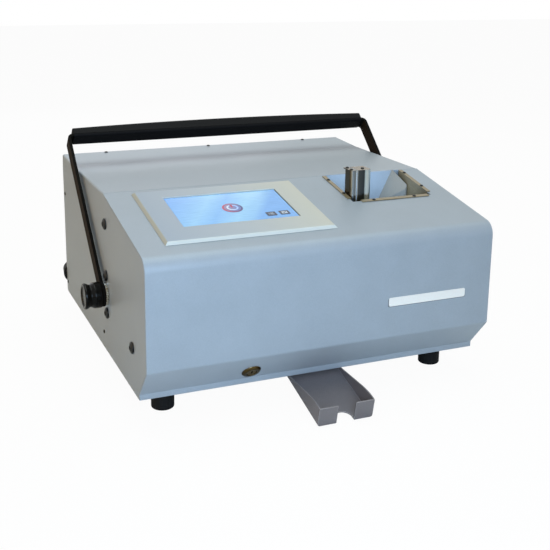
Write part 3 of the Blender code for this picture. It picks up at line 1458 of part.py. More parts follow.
def finishes():
    return {
        "blue_paint": finish("blue_paint", (0.34, 0.45, 0.58), 0.42, 0.35),
        "grey_paint": finish("grey_paint", (0.42, 0.47, 0.50), 0.45, 0.2),
        "zinc": finish("zinc", (0.55, 0.56, 0.55), 0.4, 0.9),
        "rubber": finish("rubber", (0.02, 0.02, 0.02), 0.7, 0.0),
        "black_steel": finish("black_steel", (0.015, 0.015, 0.017), 0.4, 0.6),
        "grip": finish("grip", (0.01, 0.01, 0.012), 0.5, 0.0),
        "black_plastic": finish("black_plastic", (0.012, 0.012, 0.014), 0.25, 0.0),
        "bezel": finish("bezel", (0.62, 0.62, 0.60), 0.45, 0.1),
        "glass": finish("glass", (0.12, 0.28, 0.5), 0.15, 0.0),
        "chrome": finish("chrome", (0.75, 0.73, 0.68), 0.12, 1.0),
        "stainless": finish("stainless", (0.6, 0.57, 0.5), 0.25, 1.0),
        "tray_steel": finish("tray_steel", (0.10, 0.10, 0.11), 0.4, 0.7),
        "cast_iron": finish("cast_iron", (0.12, 0.14, 0.16), 0.6, 0.6),
        "aluminium": finish("aluminium", (0.7, 0.7, 0.7), 0.4, 1.0),
        "ground_steel": finish("ground_steel", (0.5, 0.5, 0.5), 0.25, 1.0),
        "brass": finish("brass", (0.7, 0.5, 0.2), 0.3, 1.0),
        "motor_black": finish("motor_black", (0.03, 0.03, 0.03), 0.45, 0.3),
        "board_green": finish("board_green", (0.02, 0.18, 0.08), 0.5, 0.0),
    }


def main():
    clear_scene()
    look = finishes()
    axes = joint_axes()
    lid = axes["lid_hinge"]
    sides = ((-1, "left"), (1, "right"))
    make_base_plate(look["zinc"])
    make_rear_cover(look["blue_paint"])
    make_rear_panel(look["blue_paint"])
    for side, name in sides:
        make_side_panel(side, name, look["blue_paint"])
        make_frame_plate(side, name, look["zinc"])
        make_hinge_arm(side, name, look["zinc"], lid)
        make_stud(side, name, look["chrome"])
        make_knob(side, name, look["black_plastic"], axes[f"knob_{name}_turn"])
    make_feet(look["rubber"])
    make_bolts(look["black_steel"])
    make_front_lid(look["blue_paint"], lid)
    make_screen(look["bezel"], look["glass"], lid)
    make_guards(look["stainless"], lid)
    make_hopper_ramp(look["grey_paint"])
    make_lock(look["chrome"], look["brass"], lid, axes["lock_turn"])
    make_handle(look["black_steel"], look["grip"], axes["handle_swing"])
    make_tray(look["tray_steel"])
    make_magazine(look["ground_steel"], look["aluminium"])
    make_feed(look["ground_steel"], look["aluminium"], look["motor_black"],
              axes["carriage_slide"], axes["screw_turn"])
    make_wheels(look["ground_steel"], look["brass"], axes["wheel_turn"])
    make_wheel_bearing(look["cast_iron"])
    make_belt_drive(look["motor_black"], look["aluminium"], look["rubber"], axes["pulley_turn"])
    make_press(look["cast_iron"], look["ground_steel"], look["motor_black"],
               axes["cam_turn"], axes["ram_slide"])
    make_power_supply(look["aluminium"])
    make_control_board(look["board_green"])
    make_power_inlet(look["black_plastic"], look["black_plastic"], axes["rocker_tip"])


main()
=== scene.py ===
"""Dresses a table-top machine that embosses metal identity tags, and lights it for its picture."""

import sys

import logging
import math
from collections.abc import Callable, Iterator, Sequence
from contextlib import contextmanager
from dataclasses import dataclass
from enum import Enum
from typing import Any

import bmesh
import bpy
from mathutils import Matrix, Vector


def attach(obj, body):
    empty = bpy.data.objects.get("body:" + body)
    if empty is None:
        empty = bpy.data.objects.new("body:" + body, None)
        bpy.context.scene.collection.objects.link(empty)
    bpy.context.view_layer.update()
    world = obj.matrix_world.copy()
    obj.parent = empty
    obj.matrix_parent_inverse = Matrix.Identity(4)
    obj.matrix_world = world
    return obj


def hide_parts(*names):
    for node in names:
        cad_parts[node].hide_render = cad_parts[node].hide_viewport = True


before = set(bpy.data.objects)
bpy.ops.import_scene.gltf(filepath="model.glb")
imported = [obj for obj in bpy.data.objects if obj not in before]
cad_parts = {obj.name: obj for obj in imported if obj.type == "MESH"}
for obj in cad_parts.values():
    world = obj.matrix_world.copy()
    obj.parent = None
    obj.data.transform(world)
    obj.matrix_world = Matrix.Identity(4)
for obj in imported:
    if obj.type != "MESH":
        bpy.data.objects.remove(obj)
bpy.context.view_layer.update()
LOG = logging.getLogger("tag_machine")

MERGE = 1e-6
PIERCE = 0.004
STARTER = 0.01
MILLIMETRE = 0.001
FLAT_ANGLE = math.radians(0.5)
SMOOTH_ANGLE = math.radians(35)
RIGHT_ANGLE = math.pi / 2
SIDES = {-1: "left", 1: "right"}
LEFTWARD = (-1.0, 0.0, 0.0)
FORWARD = (0.0, -1.0, 0.0)
UPWARD = (0.0, 0.0, 1.0)

# What every finish shares: its noise's range, its two tones on it, its edges (a painted highlight
# that also stands for wear), its ends (painted light on the faces that look left) and bumps.
NOISE_RANGE = (0.3, 0.7)
SHADE_STOP, COLOUR_STOP = 0.34, 0.66
EDGE_COSINES = (0.995, 0.9)
EDGE_SHARES = (0.0, 0.85)
LEFT_FACE_LIGHT_COSINES = (0.85, 0.97)
BUMP_STRENGTH = 0.8
COAT_ROUGHNESS = 0.1
WHITE = (1.0, 1.0, 1.0, 1.0)

Spot = tuple[float, float, float]
Flat = tuple[float, float]
Stops = Sequence[tuple[float, str]]
Piece = bpy.types.Object
Edge = bmesh.types.BMEdge
Material = bpy.types.Material
Tree = bpy.types.NodeTree
Node = bpy.types.Node
Socket = bpy.types.NodeSocket


class Body(Enum):
    """The moving bodies that a piece can ride on."""

    CHASSIS = "chassis"
    LID = "lid"
    LOCK = "lock"
    HANDLE = "handle"
    KNOB_LEFT = "knob_left"
    KNOB_RIGHT = "knob_right"
    WHEELS = "wheels"
    PULLEY = "pulley"
    CARRIAGE = "carriage"
    SCREW = "screw"
    CAM = "cam"
    RAM = "ram"
    ROCKER = "rocker"


@dataclass(frozen=True)
class Grain:
    """How a surface's fine grain and its broad clouds are laid.

    The broad clouds are so many times as wide as the grain, and drawn means that they run with it.
    """

    detail: float
    broad_share: float
    broad_times: float
    drawn: bool = False


class Pattern(Enum):
    """How a surface was made, which sets its grain."""

    SPRAYED = Grain(2.0, 0.35, 60.0)
    BRUSHED = Grain(2.0, 0.3, 40.0, True)
    MOULDED = Grain(3.0, 0.4, 60.0)
    CAST = Grain(5.0, 0.5, 30.0)
    POLISHED = Grain(1.0, 0.5, 50.0)


# Finishes


def linear(colour: str) -> tuple[float, float, float, float]:
    """Turns an sRGB hex colour to linear light.

    Args:
        colour: six hex digits after a hash.

    Returns:
        Linear red, green and blue, and an alpha of one.
    """
    parts = [int(colour[start:start + 2], 16) / 255 for start in (1, 3, 5)]
    light = [p / 12.92 if p <= 0.04045 else ((p + 0.055) / 1.055) ** 2.4 for p in parts]
    return (light[0], light[1], light[2], 1.0)


def feed(
    tree: Tree,
    node: Node,
    values: dict[Any, Any] | None = None,
    links: dict[Any, Socket] | None = None,
) -> None:
    """Sets a node's inputs, each by its name or number.

    Args:
        tree: the material's or world's node tree.
        node: the node.
        values: default values of inputs.
        links: sockets that feed inputs.
    """
    for key, value in (values or {}).items():
        node.inputs[key].default_value = value
    for key, source in (links or {}).items():
        tree.links.new(source, node.inputs[key])


def add_node(
    tree: Tree,
    kind: str,
    settings: dict[str, Any] | None = None,
    values: dict[Any, Any] | None = None,
    links: dict[Any, Socket] | None = None,
) -> Node:
    """Adds a node with its settings, its inputs' values and what feeds them.

    Args:
        tree: the material's or world's node tree.
        kind: the node's type name.
        settings: attributes to set.
        values: default values by input name or number.
        links: sockets that feed inputs, by input name or number.

    Returns:
        The new node.
    """
    made = tree.nodes.new(kind)
    for key, value in (settings or {}).items():
        setattr(made, key, value)
    feed(tree, made, values, links)
    return made


def new_material(name: str) -> tuple[Material, Tree, Node]:
    """A new node material with its tree and its Principled shader.

    Args:
        name: the material's name.

    Returns:
        The material, its node tree and its shader.
    """
    made = bpy.data.materials.new(name)
    made.use_nodes = True
    return made, made.node_tree, made.node_tree.nodes["Principled BSDF"]


def own_place(tree: Tree) -> Socket:
    """The place in the piece's own axes."""
    return add_node(tree, "ShaderNodeTexCoord").outputs["Object"]


def drawn_out(tree: Tree, place: Socket, scale: Spot) -> Socket:
    """A place that draws its pattern out along the axes with a small scale."""
    node = add_node(tree, "ShaderNodeMapping", values={"Scale": scale}, links={"Vector": place})
    return node.outputs["Vector"]


def noise(tree: Tree, grid: Socket, size_mm: float, detail: float, rough: float = 0.55) -> Socket:
    """A noise whose grains are about as wide as given."""
    values = {"Scale": 1 / (size_mm * MILLIMETRE), "Detail": detail, "Roughness": rough}
    return add_node(tree, "ShaderNodeTexNoise", None, values, {"Vector": grid}).outputs["Fac"]


def maths(tree: Tree, operation: str, *terms: float | Socket) -> Socket:
    """The result of a calculation with numbers and sockets.

    Args:
        tree: the material's or world's node tree.
        operation: the calculation's name.
        terms: its numbers and sockets, in order.

    Returns:
        The result's socket.
    """
    numbers = {key: term for key, term in enumerate(terms) if isinstance(term, float)}
    links = {key: term for key, term in enumerate(terms) if key not in numbers}
    return add_node(tree, "ShaderNodeMath", {"operation": operation}, numbers, links).outputs[0]


def mapped(tree: Tree, source: Socket, before: Flat, after: Flat = (0.0, 1.0)) -> Socket:
    """A value taken from one range to another, and kept inside that.

    Args:
        tree: the material's or world's node tree.
        source: the value's socket.
        before: the range that it comes from.
        after: the range that it goes to.

    Returns:
        The new value's socket.
    """
    names = ("From Min", "From Max", "To Min", "To Max")
    values = dict(zip(names, before + after))
    return add_node(tree, "ShaderNodeMapRange", None, values, {"Value": source}).outputs["Result"]


def graded(tree: Tree, share: Socket, stops: Stops) -> Socket:
    """A colour ramp.

    Args:
        tree: the material's node tree.
        share: how far along the ramp each place is.
        stops: position and sRGB hex colour of each stop, in order.

    Returns:
        The colour's socket.
    """
    ramp = add_node(tree, "ShaderNodeValToRGB", links={"Fac": share})
    elements = ramp.color_ramp.elements
    while len(elements) < len(stops):
        elements.new(0.5)
    for element, (position, colour) in zip(elements, stops):
        element.position = position
        element.color = linear(colour)
    return ramp.outputs["Color"]


def cosine_to(tree: Tree, way: Spot | Socket) -> Socket:
    """The cosine between where the surface faces and another way of length one.

    Args:
        tree: the material's or world's node tree.
        way: a direction, or the socket of one.

    Returns:
        The cosine's socket.
    """
    links, values = {0: add_node(tree, "ShaderNodeNewGeometry").outputs["Normal"]}, {}
    (values if isinstance(way, tuple) else links)[1] = way
    node = add_node(tree, "ShaderNodeVectorMath", {"operation": "DOT_PRODUCT"}, values, links)
    return node.outputs["Value"]


def laid_over(tree: Tree, under: Socket, share: Socket, colour: str) -> Socket:
    """One colour laid over another by a share.

    Args:
        tree: the material's or world's node tree.
        under: the socket of the colour underneath.
        share: the socket of how much is covered.
        colour: the sRGB hex colour on top.

    Returns:
        The mixed colour's socket.
    """
    links = {0: share, 6: under}
    node = add_node(tree, "ShaderNodeMix", {"data_type": "RGBA"}, {7: linear(colour)}, links)
    return node.outputs[2]


@dataclass(frozen=True)
class PaintedFacingLight:
    """A painted light colour on the faces that look one way, from a least cosine up to where it is
    full.
    """

    way: Spot
    least: float
    full: float
    colour: str

    def lay(self, tree: Tree, under: Socket) -> Socket:
        """Lays the colour over another."""
        share = mapped(tree, cosine_to(tree, self.way), (self.least, self.full))
        return laid_over(tree, under, share, self.colour)


@dataclass(frozen=True)
class Finish:
    """A real surface: its colour, its grain in millimetres and how it shines. Its edge colour is a
    painted edge highlight that also stands for wear, its ends colour is painted light on the faces
    that look left, and its glow is a painted glow.
    """

    name: str
    colour: str
    shade: str
    roughness: float
    metallic: float = 0.0
    pattern: Pattern = Pattern.SPRAYED
    grain_mm: float = 0.8
    bump_mm: float = 0.01
    rough_spread: float = 0.06
    coat: float = 0.0
    run: Spot = (1.0, 1.0, 1.0)
    edge: str = ""
    edge_mm: float = 0.5
    shine: float = 0.5
    ends: str = ""
    glow: float = 0.0

    def material(self) -> Material:
        """Builds the node material once, and hands out the same one afterwards."""
        return bpy.data.materials.get(self.name) or self.build()

    def build(self) -> Material:
        """Builds the node material.

        Returns:
            The material with colour, roughness and bump from the same grain.
        """
        made, tree, shader = new_material(self.name)
        laid, place = self.pattern.value, own_place(tree)
        grid = drawn_out(tree, place, self.run)
        fine = noise(tree, grid, self.grain_mm, laid.detail)
        clouds = grid if laid.drawn else place
        broad = noise(tree, clouds, self.grain_mm * laid.broad_times, laid.detail + 1.0)
        share, grains = {"Factor": laid.broad_share}, {"A": fine, "B": broad}
        both = add_node(tree, "ShaderNodeMix", None, share, grains).outputs["Result"]
        tone = graded(tree, both, ((SHADE_STOP, self.shade), (COLOUR_STOP, self.colour)))
        # Painted highlight along sharp edges, which also stands for wear.
        if self.edge:
            tone = self.edge_wear_and_highlight(tree, tone)
        # Painted light: the ends colour on the faces that look left.
        if self.ends:
            tone = PaintedFacingLight(LEFTWARD, *LEFT_FACE_LIGHT_COSINES, self.ends).lay(tree, tone)
        gloss = (self.roughness - self.rough_spread, self.roughness + self.rough_spread)
        values = {
            "Metallic": self.metallic,
            "Specular IOR Level": self.shine,
            "Coat Weight": self.coat,
            "Coat Roughness": COAT_ROUGHNESS,
        }
        links = {"Base Color": tone, "Roughness": mapped(tree, broad, NOISE_RANGE, gloss)}
        # Painted glow: the surface gives off light in its own colour, though it is no lamp.
        if self.glow:
            values |= {"Emission Color": linear(self.colour), "Emission Strength": self.glow}
        if self.bump_mm:
            depth = {"Strength": BUMP_STRENGTH, "Distance": self.bump_mm * MILLIMETRE}
            bump = add_node(tree, "ShaderNodeBump", None, depth, {"Height": fine})
            links["Normal"] = bump.outputs["Normal"]
        feed(tree, shader, values, links)
        return made

    def edge_wear_and_highlight(self, tree: Tree, tone: Socket) -> Socket:
        """Lays the edge colour along sharp edges, where the surface turns within a small radius: a
        painted edge highlight that also stands for wear.

        Args:
            tree: the material's or world's node tree.
            tone: the socket of the colour underneath.

        Returns:
            The new colour's socket.
        """
        radius = {"Radius": self.edge_mm * MILLIMETRE}
        around = add_node(tree, "ShaderNodeBevel", {"samples": 6}, radius).outputs["Normal"]
        share = mapped(tree, cosine_to(tree, around), EDGE_COSINES, EDGE_SHARES)
        return laid_over(tree, tone, share, self.edge)


# Polyester powder coat with metal flake: a soft silver-blue with a fine sparkle and a satin shine.
POWDER_COAT = Finish(
    "powder_coat_silver_blue", "#AFB6BE", "#A4ABB3", 0.45, 0.1, Pattern.SPRAYED, 0.7, 0.02, 0.03,
    shine=0.4,
)
# The same coat in plain grey on the small ramp.
GREY_COAT = Finish("powder_coat_grey", "#98958E", "#8C8982", 0.4, 0.1, Pattern.SPRAYED, 0.7, 0.02)
# Passivated zinc plate: dull, faintly yellow and cloudy.
ZINC_PLATE = Finish(
    "zinc_plated_steel", "#B4B4AC", "#8F9188", 0.42, 0.9, Pattern.CAST, 1.6, 0.01, 0.1
)
# Moulded rubber: deep black that stays matt.
FOOT_RUBBER = Finish(
    "moulded_rubber", "#161617", "#0D0D0E", 0.65, 0.0, Pattern.MOULDED, 0.5, 0.02, 0.08,
    shine=0.2,
)
# Hot black oxide on steel screws: dark, with a painted brown highlight along its edges.
BLACK_OXIDE = Finish(
    "black_oxide_steel", "#141312", "#0B0B0B", 0.36, 0.2, Pattern.POLISHED, 0.4, 0.004, 0.06,
    edge="#3A342C", edge_mm=0.3, shine=0.35,
)
# Black enamelled flat bar: smooth, with painted brown light on its narrow sides: along its edges
# and on the faces that look left.
BAR_ENAMEL = Finish(
    "black_enamel_bar", "#100E0B", "#0A0908", 0.7, 0.0, Pattern.SPRAYED, 1.2, 0.006, 0.05,
    edge="#3A2A17", edge_mm=0.5, shine=0.06, ends="#241A0F",
)
# Extruded soft plastic sleeve: black, drawn along its length.
GRIP_SLEEVE = Finish(
    "extruded_vinyl_sleeve", "#0E0E11", "#070709", 0.6, 0.0, Pattern.BRUSHED, 0.8, 0.015, 0.05,
    run=(0.04, 1.0, 1.0), shine=0.1,
)
# Phenolic resin knob: glossy black straight from a polished mould, with a painted brown reflection
# on the faces that look left.
KNOB_RESIN = Finish(
    "phenolic_resin", "#0A0907", "#040404", 0.15, 0.0, Pattern.POLISHED, 2.0, 0.0, 0.04,
    shine=0.14, ends="#30230F",
)
# Bright chrome over brass: a mirror whose brown reflection of the room is painted into its colour.
CHROME = Finish("bright_chrome", "#D5CFC2", "#B9AE99", 0.1, 1.0, Pattern.POLISHED, 3.0, 0.0, 0.04)
# Dark chrome on the lock: a mirror with a brown reflection of the room painted into its colour, one
# bright spot, and a painted highlight along its rim edges.
LOCK_CHROME = Finish(
    "dark_chrome", "#6E5A3C", "#54431F", 0.12, 1.0, Pattern.POLISHED, 3.0, 0.0, 0.04,
    edge="#C9BCA2", edge_mm=0.3,
)
# Old gold on the lock's turning plug.
LOCK_GOLD = Finish(
    "old_gold_plate", "#8A6C34", "#6B5224", 0.24, 1.0, Pattern.POLISHED, 1.0, 0.002, 0.05
)
# Brushed stainless steel: a painted tan reflection of the room, drawn out along the strip.
STAINLESS = Finish(
    "brushed_stainless_steel", "#A09072", "#86785E", 0.34, 0.35, Pattern.BRUSHED, 0.3, 0.003, 0.05,
    run=(1.0, 0.05, 1.0),
)
# Ground and polished steel: dark mirror drawn upwards.
GROUND_STEEL = Finish(
    "ground_steel", "#B5B4B0", "#8E8D8A", 0.22, 1.0, Pattern.BRUSHED, 0.35, 0.003, 0.04,
    run=(1.0, 1.0, 0.04),
)
# Gunmetal powder coat on folded steel: dark grey, with light edges that are partly bare wear and
# partly a painted highlight.
TRAY_COAT = Finish(
    "gunmetal_coated_steel", "#8B8180", "#797070", 0.42, 0.2, Pattern.SPRAYED, 0.9, 0.01, 0.06,
    edge="#D6D0CC", edge_mm=0.8,
)
# Painted grey iron: dull and pitted, with lighter edges as a painted highlight that also stands for
# wear.
CAST_IRON = Finish(
    "painted_cast_iron", "#5A626A", "#474E55", 0.6, 0.3, Pattern.CAST, 1.4, 0.06, 0.08,
    edge="#7C8389", edge_mm=0.6,
)
# Milled aluminium: light, with the cutter's lines.
MILLED_ALUMINIUM = Finish(
    "milled_aluminium", "#C9CACB", "#AFB1B3", 0.33, 1.0, Pattern.BRUSHED, 0.5, 0.005, 0.05,
    run=(0.06, 1.0, 1.0),
)
# Turned brass: warm, with the lathe's fine rings left to the roughness.
TURNED_BRASS = Finish(
    "turned_brass", "#C8A35A", "#A98445", 0.26, 1.0, Pattern.POLISHED, 1.0, 0.003, 0.05
)
# Black stove enamel on motor cases: matt, a little rough, with lighter edges as a painted highlight
# that also stands for wear.
MOTOR_ENAMEL = Finish(
    "motor_stove_enamel", "#26272A", "#1A1B1D", 0.48, 0.2, Pattern.CAST, 0.8, 0.02, 0.06,
    edge="#5A5C60", edge_mm=0.4,
)
# Glass-fibre circuit board with green solder mask.
SOLDER_MASK = Finish(
    "green_solder_mask", "#1F6A3C", "#17532E", 0.35, 0.0, Pattern.MOULDED, 2.5, 0.01, 0.05,
    coat=0.4,
)
# Black moulded ABS: fine spark-eroded grain.
BLACK_ABS = Finish(
    "moulded_abs_black", "#1C1D1F", "#141517", 0.42, 0.0, Pattern.MOULDED, 0.35, 0.02, 0.05
)
# White acrylic plate: bright and even, with a soft gloss and a painted glow that lights it beyond
# the lamps.
WHITE_ACRYLIC = Finish(
    "white_acrylic", "#F6F0E9", "#F1EBE4", 0.3, 0.0, Pattern.MOULDED, 3.0, 0.0, 0.03, coat=0.2,
    glow=0.12,
)
# Grey sheet under the white plate: the plate's painted shadow.
PLATE_SHADOW_GREY = Finish("painted_plate_shadow", "#6C7178", "#5F646B", 0.4, 0.0, Pattern.MOULDED, 1.0, 0.0)
# Symbols on the screen: lit areas without grain.
ICON_DARK = Finish("icon_dark", "#3E4A63", "#333F57", 0.3, 0.0, Pattern.POLISHED, 4.0, 0.0, 0.02)
ICON_LIGHT = Finish("icon_light", "#E9EDF5", "#DDE3EE", 0.3, 0.0, Pattern.POLISHED, 4.0, 0.0, 0.02)
# Red bar of the screen's round symbol.
ICON_BAR = Finish("icon_bar", "#E0405A", "#D0384F", 0.3, 0.0, Pattern.POLISHED, 4.0, 0.0, 0.02)
# Nitrile belt with a fabric face.
BELT_NITRILE = Finish(
    "nitrile_belt", "#202023", "#151517", 0.7, 0.0, Pattern.MOULDED, 0.8, 0.04, 0.05
)


@dataclass(frozen=True)
class Toned:
    """A surface whose colours run from left to right over its piece, with painted light on the
    faces that look given ways.
    """

    name: str
    stops: Stops
    reach: float = 1.0
    roughness: float = 0.3
    metallic: float = 0.0
    shine: float = 0.5
    glow: float = 0.0
    sides: tuple[PaintedFacingLight, ...] = ()

    def material(self, start: float, width: float) -> Material:
        """Builds the surface's material.

        Args:
            start: X of the piece's left edge.
            width: the piece's width, over which the stops lie.

        Returns:
            The material.
        """
        made, tree, shader = new_material(self.name)
        parts = add_node(tree, "ShaderNodeSeparateXYZ", links={0: own_place(tree)})
        along = mapped(tree, parts.outputs["X"], (start, start + width))
        tone = graded(tree, along, [(place / self.reach, colour) for place, colour in self.stops])
        for side in self.sides:
            tone = side.lay(tree, tone)
        values = {
            "Metallic": self.metallic,
            "Roughness": self.roughness,
            "Specular IOR Level": self.shine,
            "Emission Strength": self.glow,
        }
        links = {"Base Color": tone} | ({"Emission Color": tone} if self.glow else {})
        feed(tree, shader, values, links)
        return made


# The round symbol: rim, face and open ring, each red or white at the left and blue at the right.
MARK_RIM = Toned("mark_rim", ((0.0, "#C9475E"), (1.0, "#33427E")), glow=0.1)
MARK_FACE = Toned("mark_face", ((0.0, "#A98CA8"), (1.0, "#5C7FC0")), glow=0.1)
MARK_RING = Toned("mark_ring", ((0.0, "#F6F4F6"), (1.0, "#74A6EC")), glow=0.25)
# Satin anodised aluminium with a polished rim: painted reflections run from blue-grey at the left
# to cream at the right, with painted tan light on the left of its rim and a painted highlight on
# its front rim.
SATIN_ALUMINIUM = Toned(
    "satin_anodised_aluminium", ((0.0, "#A9B3C0"), (0.5, "#BFC4C8"), (1.0, "#D8D4C6")),
    roughness=0.34, shine=0.4,
    sides=(
        PaintedFacingLight(LEFTWARD, 0.12, 0.42, "#BDB8A8"),
        PaintedFacingLight(FORWARD, 0.3, 0.5, "#E6E6E0"),
    ),
)
# Mirror-polished steel sheet: painted reflections, upright bands of the room at its front, and a
# painted tan reflection on its upward plates.
MIRROR_SHEET = Toned(
    "mirror_polished_steel",
    (
        (0.0, "#4A4234"), (0.0008, "#5F5645"), (0.0018, "#C9C0AC"), (0.0026, "#8A8F93"),
        (0.0068, "#8A9299"), (0.0078, "#E9EDEE"), (0.0100, "#E9EDEE"), (0.0104, "#5C6165"),
        (0.0200, "#454C52"), (0.0212, "#D6E6EE"), (0.0240, "#EFF7F9"), (0.0280, "#B7CCDC"),
        (0.0309, "#8FA9C4"),
    ),
    reach=0.0309, roughness=0.2, metallic=1.0,
    sides=(PaintedFacingLight(UPWARD, 0.5, 0.8, "#716750"),),
)


@dataclass(frozen=True)
class ScreenGlass:
    """The lit panel behind its glass: a brushed sky-blue gradient in the panel's own plane."""

    name: str = "lit_display_glass"
    lean: float = 0.35
    sky: Stops = (
        (0.0, "#66ACF5"), (0.22, "#82BFF8"), (0.42, "#98D2FA"), (0.58, "#80C0F8"),
        (0.78, "#9CD6FA"), (0.92, "#8CC8F6"), (1.0, "#6FB2F3"),
    )
    streak_mm: float = 0.9
    streak_run: Spot = (0.05, 1.0, 1.0)
    streak_tones: Stops = ((0.3, "#C4D2E0"), (0.7, "#FFFFFF"))
    streak_share: float = 0.6

    def material(self, corner: Vector, slope: float) -> Material:
        """Builds the panel's material.

        Args:
            corner: the panel's rear left corner, where its pattern starts.
            slope: the panel's tilt about X.

        Returns:
            The material.
        """
        made, tree, shader = new_material(self.name)
        plane = add_node(
            tree,
            "ShaderNodeMapping",
            {"vector_type": "TEXTURE"},
            {"Location": corner, "Rotation": (slope, 0, 0)},
            {"Vector": own_place(tree)},
        ).outputs["Vector"]
        parts = add_node(tree, "ShaderNodeSeparateXYZ", links={0: plane}).outputs
        sideways = maths(tree, "DIVIDE", parts["X"], WINDOW.width)
        down = maths(tree, "DIVIDE", parts["Y"], -WINDOW.length)
        sky = graded(tree, maths(tree, "MULTIPLY_ADD", down, self.lean, sideways), self.sky)
        drawn = drawn_out(tree, plane, self.streak_run)
        light = graded(tree, noise(tree, drawn, self.streak_mm, 3.0, 0.5), self.streak_tones)
        picture = add_node(
            tree,
            "ShaderNodeMix",
            {"data_type": "RGBA", "blend_type": "MULTIPLY"},
            {0: self.streak_share},
            {6: sky, 7: light},
        ).outputs[2]
        values = {
            "Roughness": 0.12,
            "Coat Weight": 0.5,
            "Coat Roughness": 0.04,
            "Emission Strength": 0.2,
        }
        feed(tree, shader, values, {"Base Color": picture, "Emission Color": picture})
        return made


# Modelling steps


def clear_selection() -> None:
    """Deselects everything, so that a new primitive is alone."""
    bpy.ops.object.select_all(action="DESELECT")


def select_only(*chosen: Piece) -> None:
    """Selects these pieces alone, the first one active.

    Args:
        chosen: the pieces.
    """
    clear_selection()
    for piece in chosen:
        piece.select_set(True)
    bpy.context.view_layer.objects.active = chosen[0]


@contextmanager
def editing(
    piece: Piece, kind: str = "VERT", chosen: Callable[[Any], bool] | None = None
) -> Iterator[None]:
    """Opens a piece in edit mode with all or a part of it selected, and closes it afterwards.

    Args:
        piece: the piece to edit.
        kind: whether corners, edges or faces are selected.
        chosen: the test of what is selected, or nothing for all.
    """
    select_only(piece)
    bpy.ops.object.mode_set(mode="EDIT")
    bpy.ops.mesh.select_mode(type=kind)
    bpy.ops.mesh.select_all(action="DESELECT" if chosen else "SELECT")
    if chosen:
        mesh = bmesh.from_edit_mesh(piece.data)
        parts = {"VERT": mesh.verts, "EDGE": mesh.edges, "FACE": mesh.faces}
        for part in filter(chosen, parts[kind]):
            part.select_set(True)
        bmesh.update_edit_mesh(piece.data)
    yield
    bpy.ops.object.mode_set(mode="OBJECT")


def span(edge: Edge) -> Vector:
    """How far an edge reaches along each axis."""
    return Vector([abs(reach) for reach in edge.verts[0].co - edge.verts[1].co])


def newest(name: str) -> Piece:
    """Names the primitive that was just added.

    Args:
        name: the primitive's name.

    Returns:
        The primitive.
    """
    piece = bpy.context.object
    piece.name = name
    piece.data.name = name
    return piece


def drawn_line(name: str, spots: Sequence[Spot]) -> Piece:
    """Draws a chain of edges by extruding one corner from spot to spot.

    Args:
        name: the piece's name.
        spots: the places that the chain runs through.

    Returns:
        The new piece.
    """
    clear_selection()
    bpy.ops.mesh.primitive_plane_add(size=STARTER)
    piece = newest(name)
    with editing(piece):
        bpy.ops.mesh.merge(type="CENTER")
        bpy.ops.transform.translate(value=spots[0])
        for before, after in zip(spots, spots[1:]):
            step = Vector(after) - Vector(before)
            bpy.ops.mesh.extrude_vertices_move(TRANSFORM_OT_translate={"value": step})
    return piece


def pushed_plate(name: str, outline: Sequence[Spot], push: Spot) -> Piece:
    """Fills an outline and extrudes it to a solid.

    Args:
        name: the piece's name.
        outline: the corners, in order, in one plane.
        push: how far the face is extruded.

    Returns:
        The new solid.
    """
    piece = drawn_line(name, [*outline, outline[0]])
    with editing(piece):
        bpy.ops.mesh.remove_doubles(threshold=MERGE)
        bpy.ops.mesh.edge_face_add()
        bpy.ops.mesh.extrude_region_move(TRANSFORM_OT_translate={"value": push})
        bpy.ops.mesh.select_all(action="SELECT")
        bpy.ops.mesh.normals_make_consistent(inside=False)
    return piece


def folded(name: str, outline: Sequence[Flat], left: float, right: float) -> Piece:
    """An outline seen from the side, made solid from left to right."""
    return pushed_plate(name, [(left, y, z) for y, z in outline], (right - left, 0, 0))


def turned_piece(name: str, profile: Sequence[Flat], steps: int, ring: bool = False) -> Piece:
    """Spins a profile round the Z axis.

    Args:
        name: the piece's name.
        profile: radius and height of each corner.
        steps: the number of steps round.
        ring: whether the profile closes on itself away from the axis.

    Returns:
        The new round piece.
    """
    spots = [(radius, 0.0, height) for radius, height in profile]
    piece = drawn_line(name, spots + spots[:1] if ring else spots)
    with editing(piece):
        bpy.ops.mesh.remove_doubles(threshold=MERGE)
        bpy.ops.mesh.spin(steps=steps, angle=math.tau, center=(0, 0, 0), axis=(0, 0, 1))
        bpy.ops.mesh.select_all(action="SELECT")
        bpy.ops.mesh.remove_doubles(threshold=MERGE)
        bpy.ops.mesh.normals_make_consistent(inside=False)
    return piece


def settle(piece: Piece) -> Piece:
    """Moves a piece's place, turn and size into its mesh.

    Args:
        piece: the piece to settle.

    Returns:
        The same piece.
    """
    select_only(piece)
    bpy.ops.object.transform_apply(location=True, rotation=True, scale=True)
    return piece


def block(name: str, low: Spot, high: Spot) -> Piece:
    """A cuboid between two corners.

    Args:
        name: the piece's name.
        low: its lowest corner.
        high: its highest corner.

    Returns:
        The new solid.
    """
    middle = (Vector(low) + Vector(high)) / 2
    clear_selection()
    bpy.ops.mesh.primitive_cube_add(size=1, location=middle, scale=Vector(high) - Vector(low))
    return settle(newest(name))


def rod(name: str, radius: float, low: Spot, high: Spot, sides: int = 48) -> Piece:
    """A cylinder between two places.

    Args:
        name: the piece's name.
        radius: its radius.
        low: the middle of one end.
        high: the middle of the other end.
        sides: the number of its sides.

    Returns:
        The new solid.
    """
    run = Vector(high) - Vector(low)
    clear_selection()
    bpy.ops.mesh.primitive_cylinder_add(
        vertices=sides,
        radius=radius,
        depth=run.length,
        location=(Vector(low) + Vector(high)) / 2,
        rotation=run.to_track_quat("Z", "Y").to_euler(),
    )
    return settle(newest(name))


def move_to(piece: Piece, matrix: Matrix) -> Piece:
    """Sets a piece in a frame and settles it there."""
    piece.matrix_world = matrix @ piece.matrix_world
    return settle(piece)


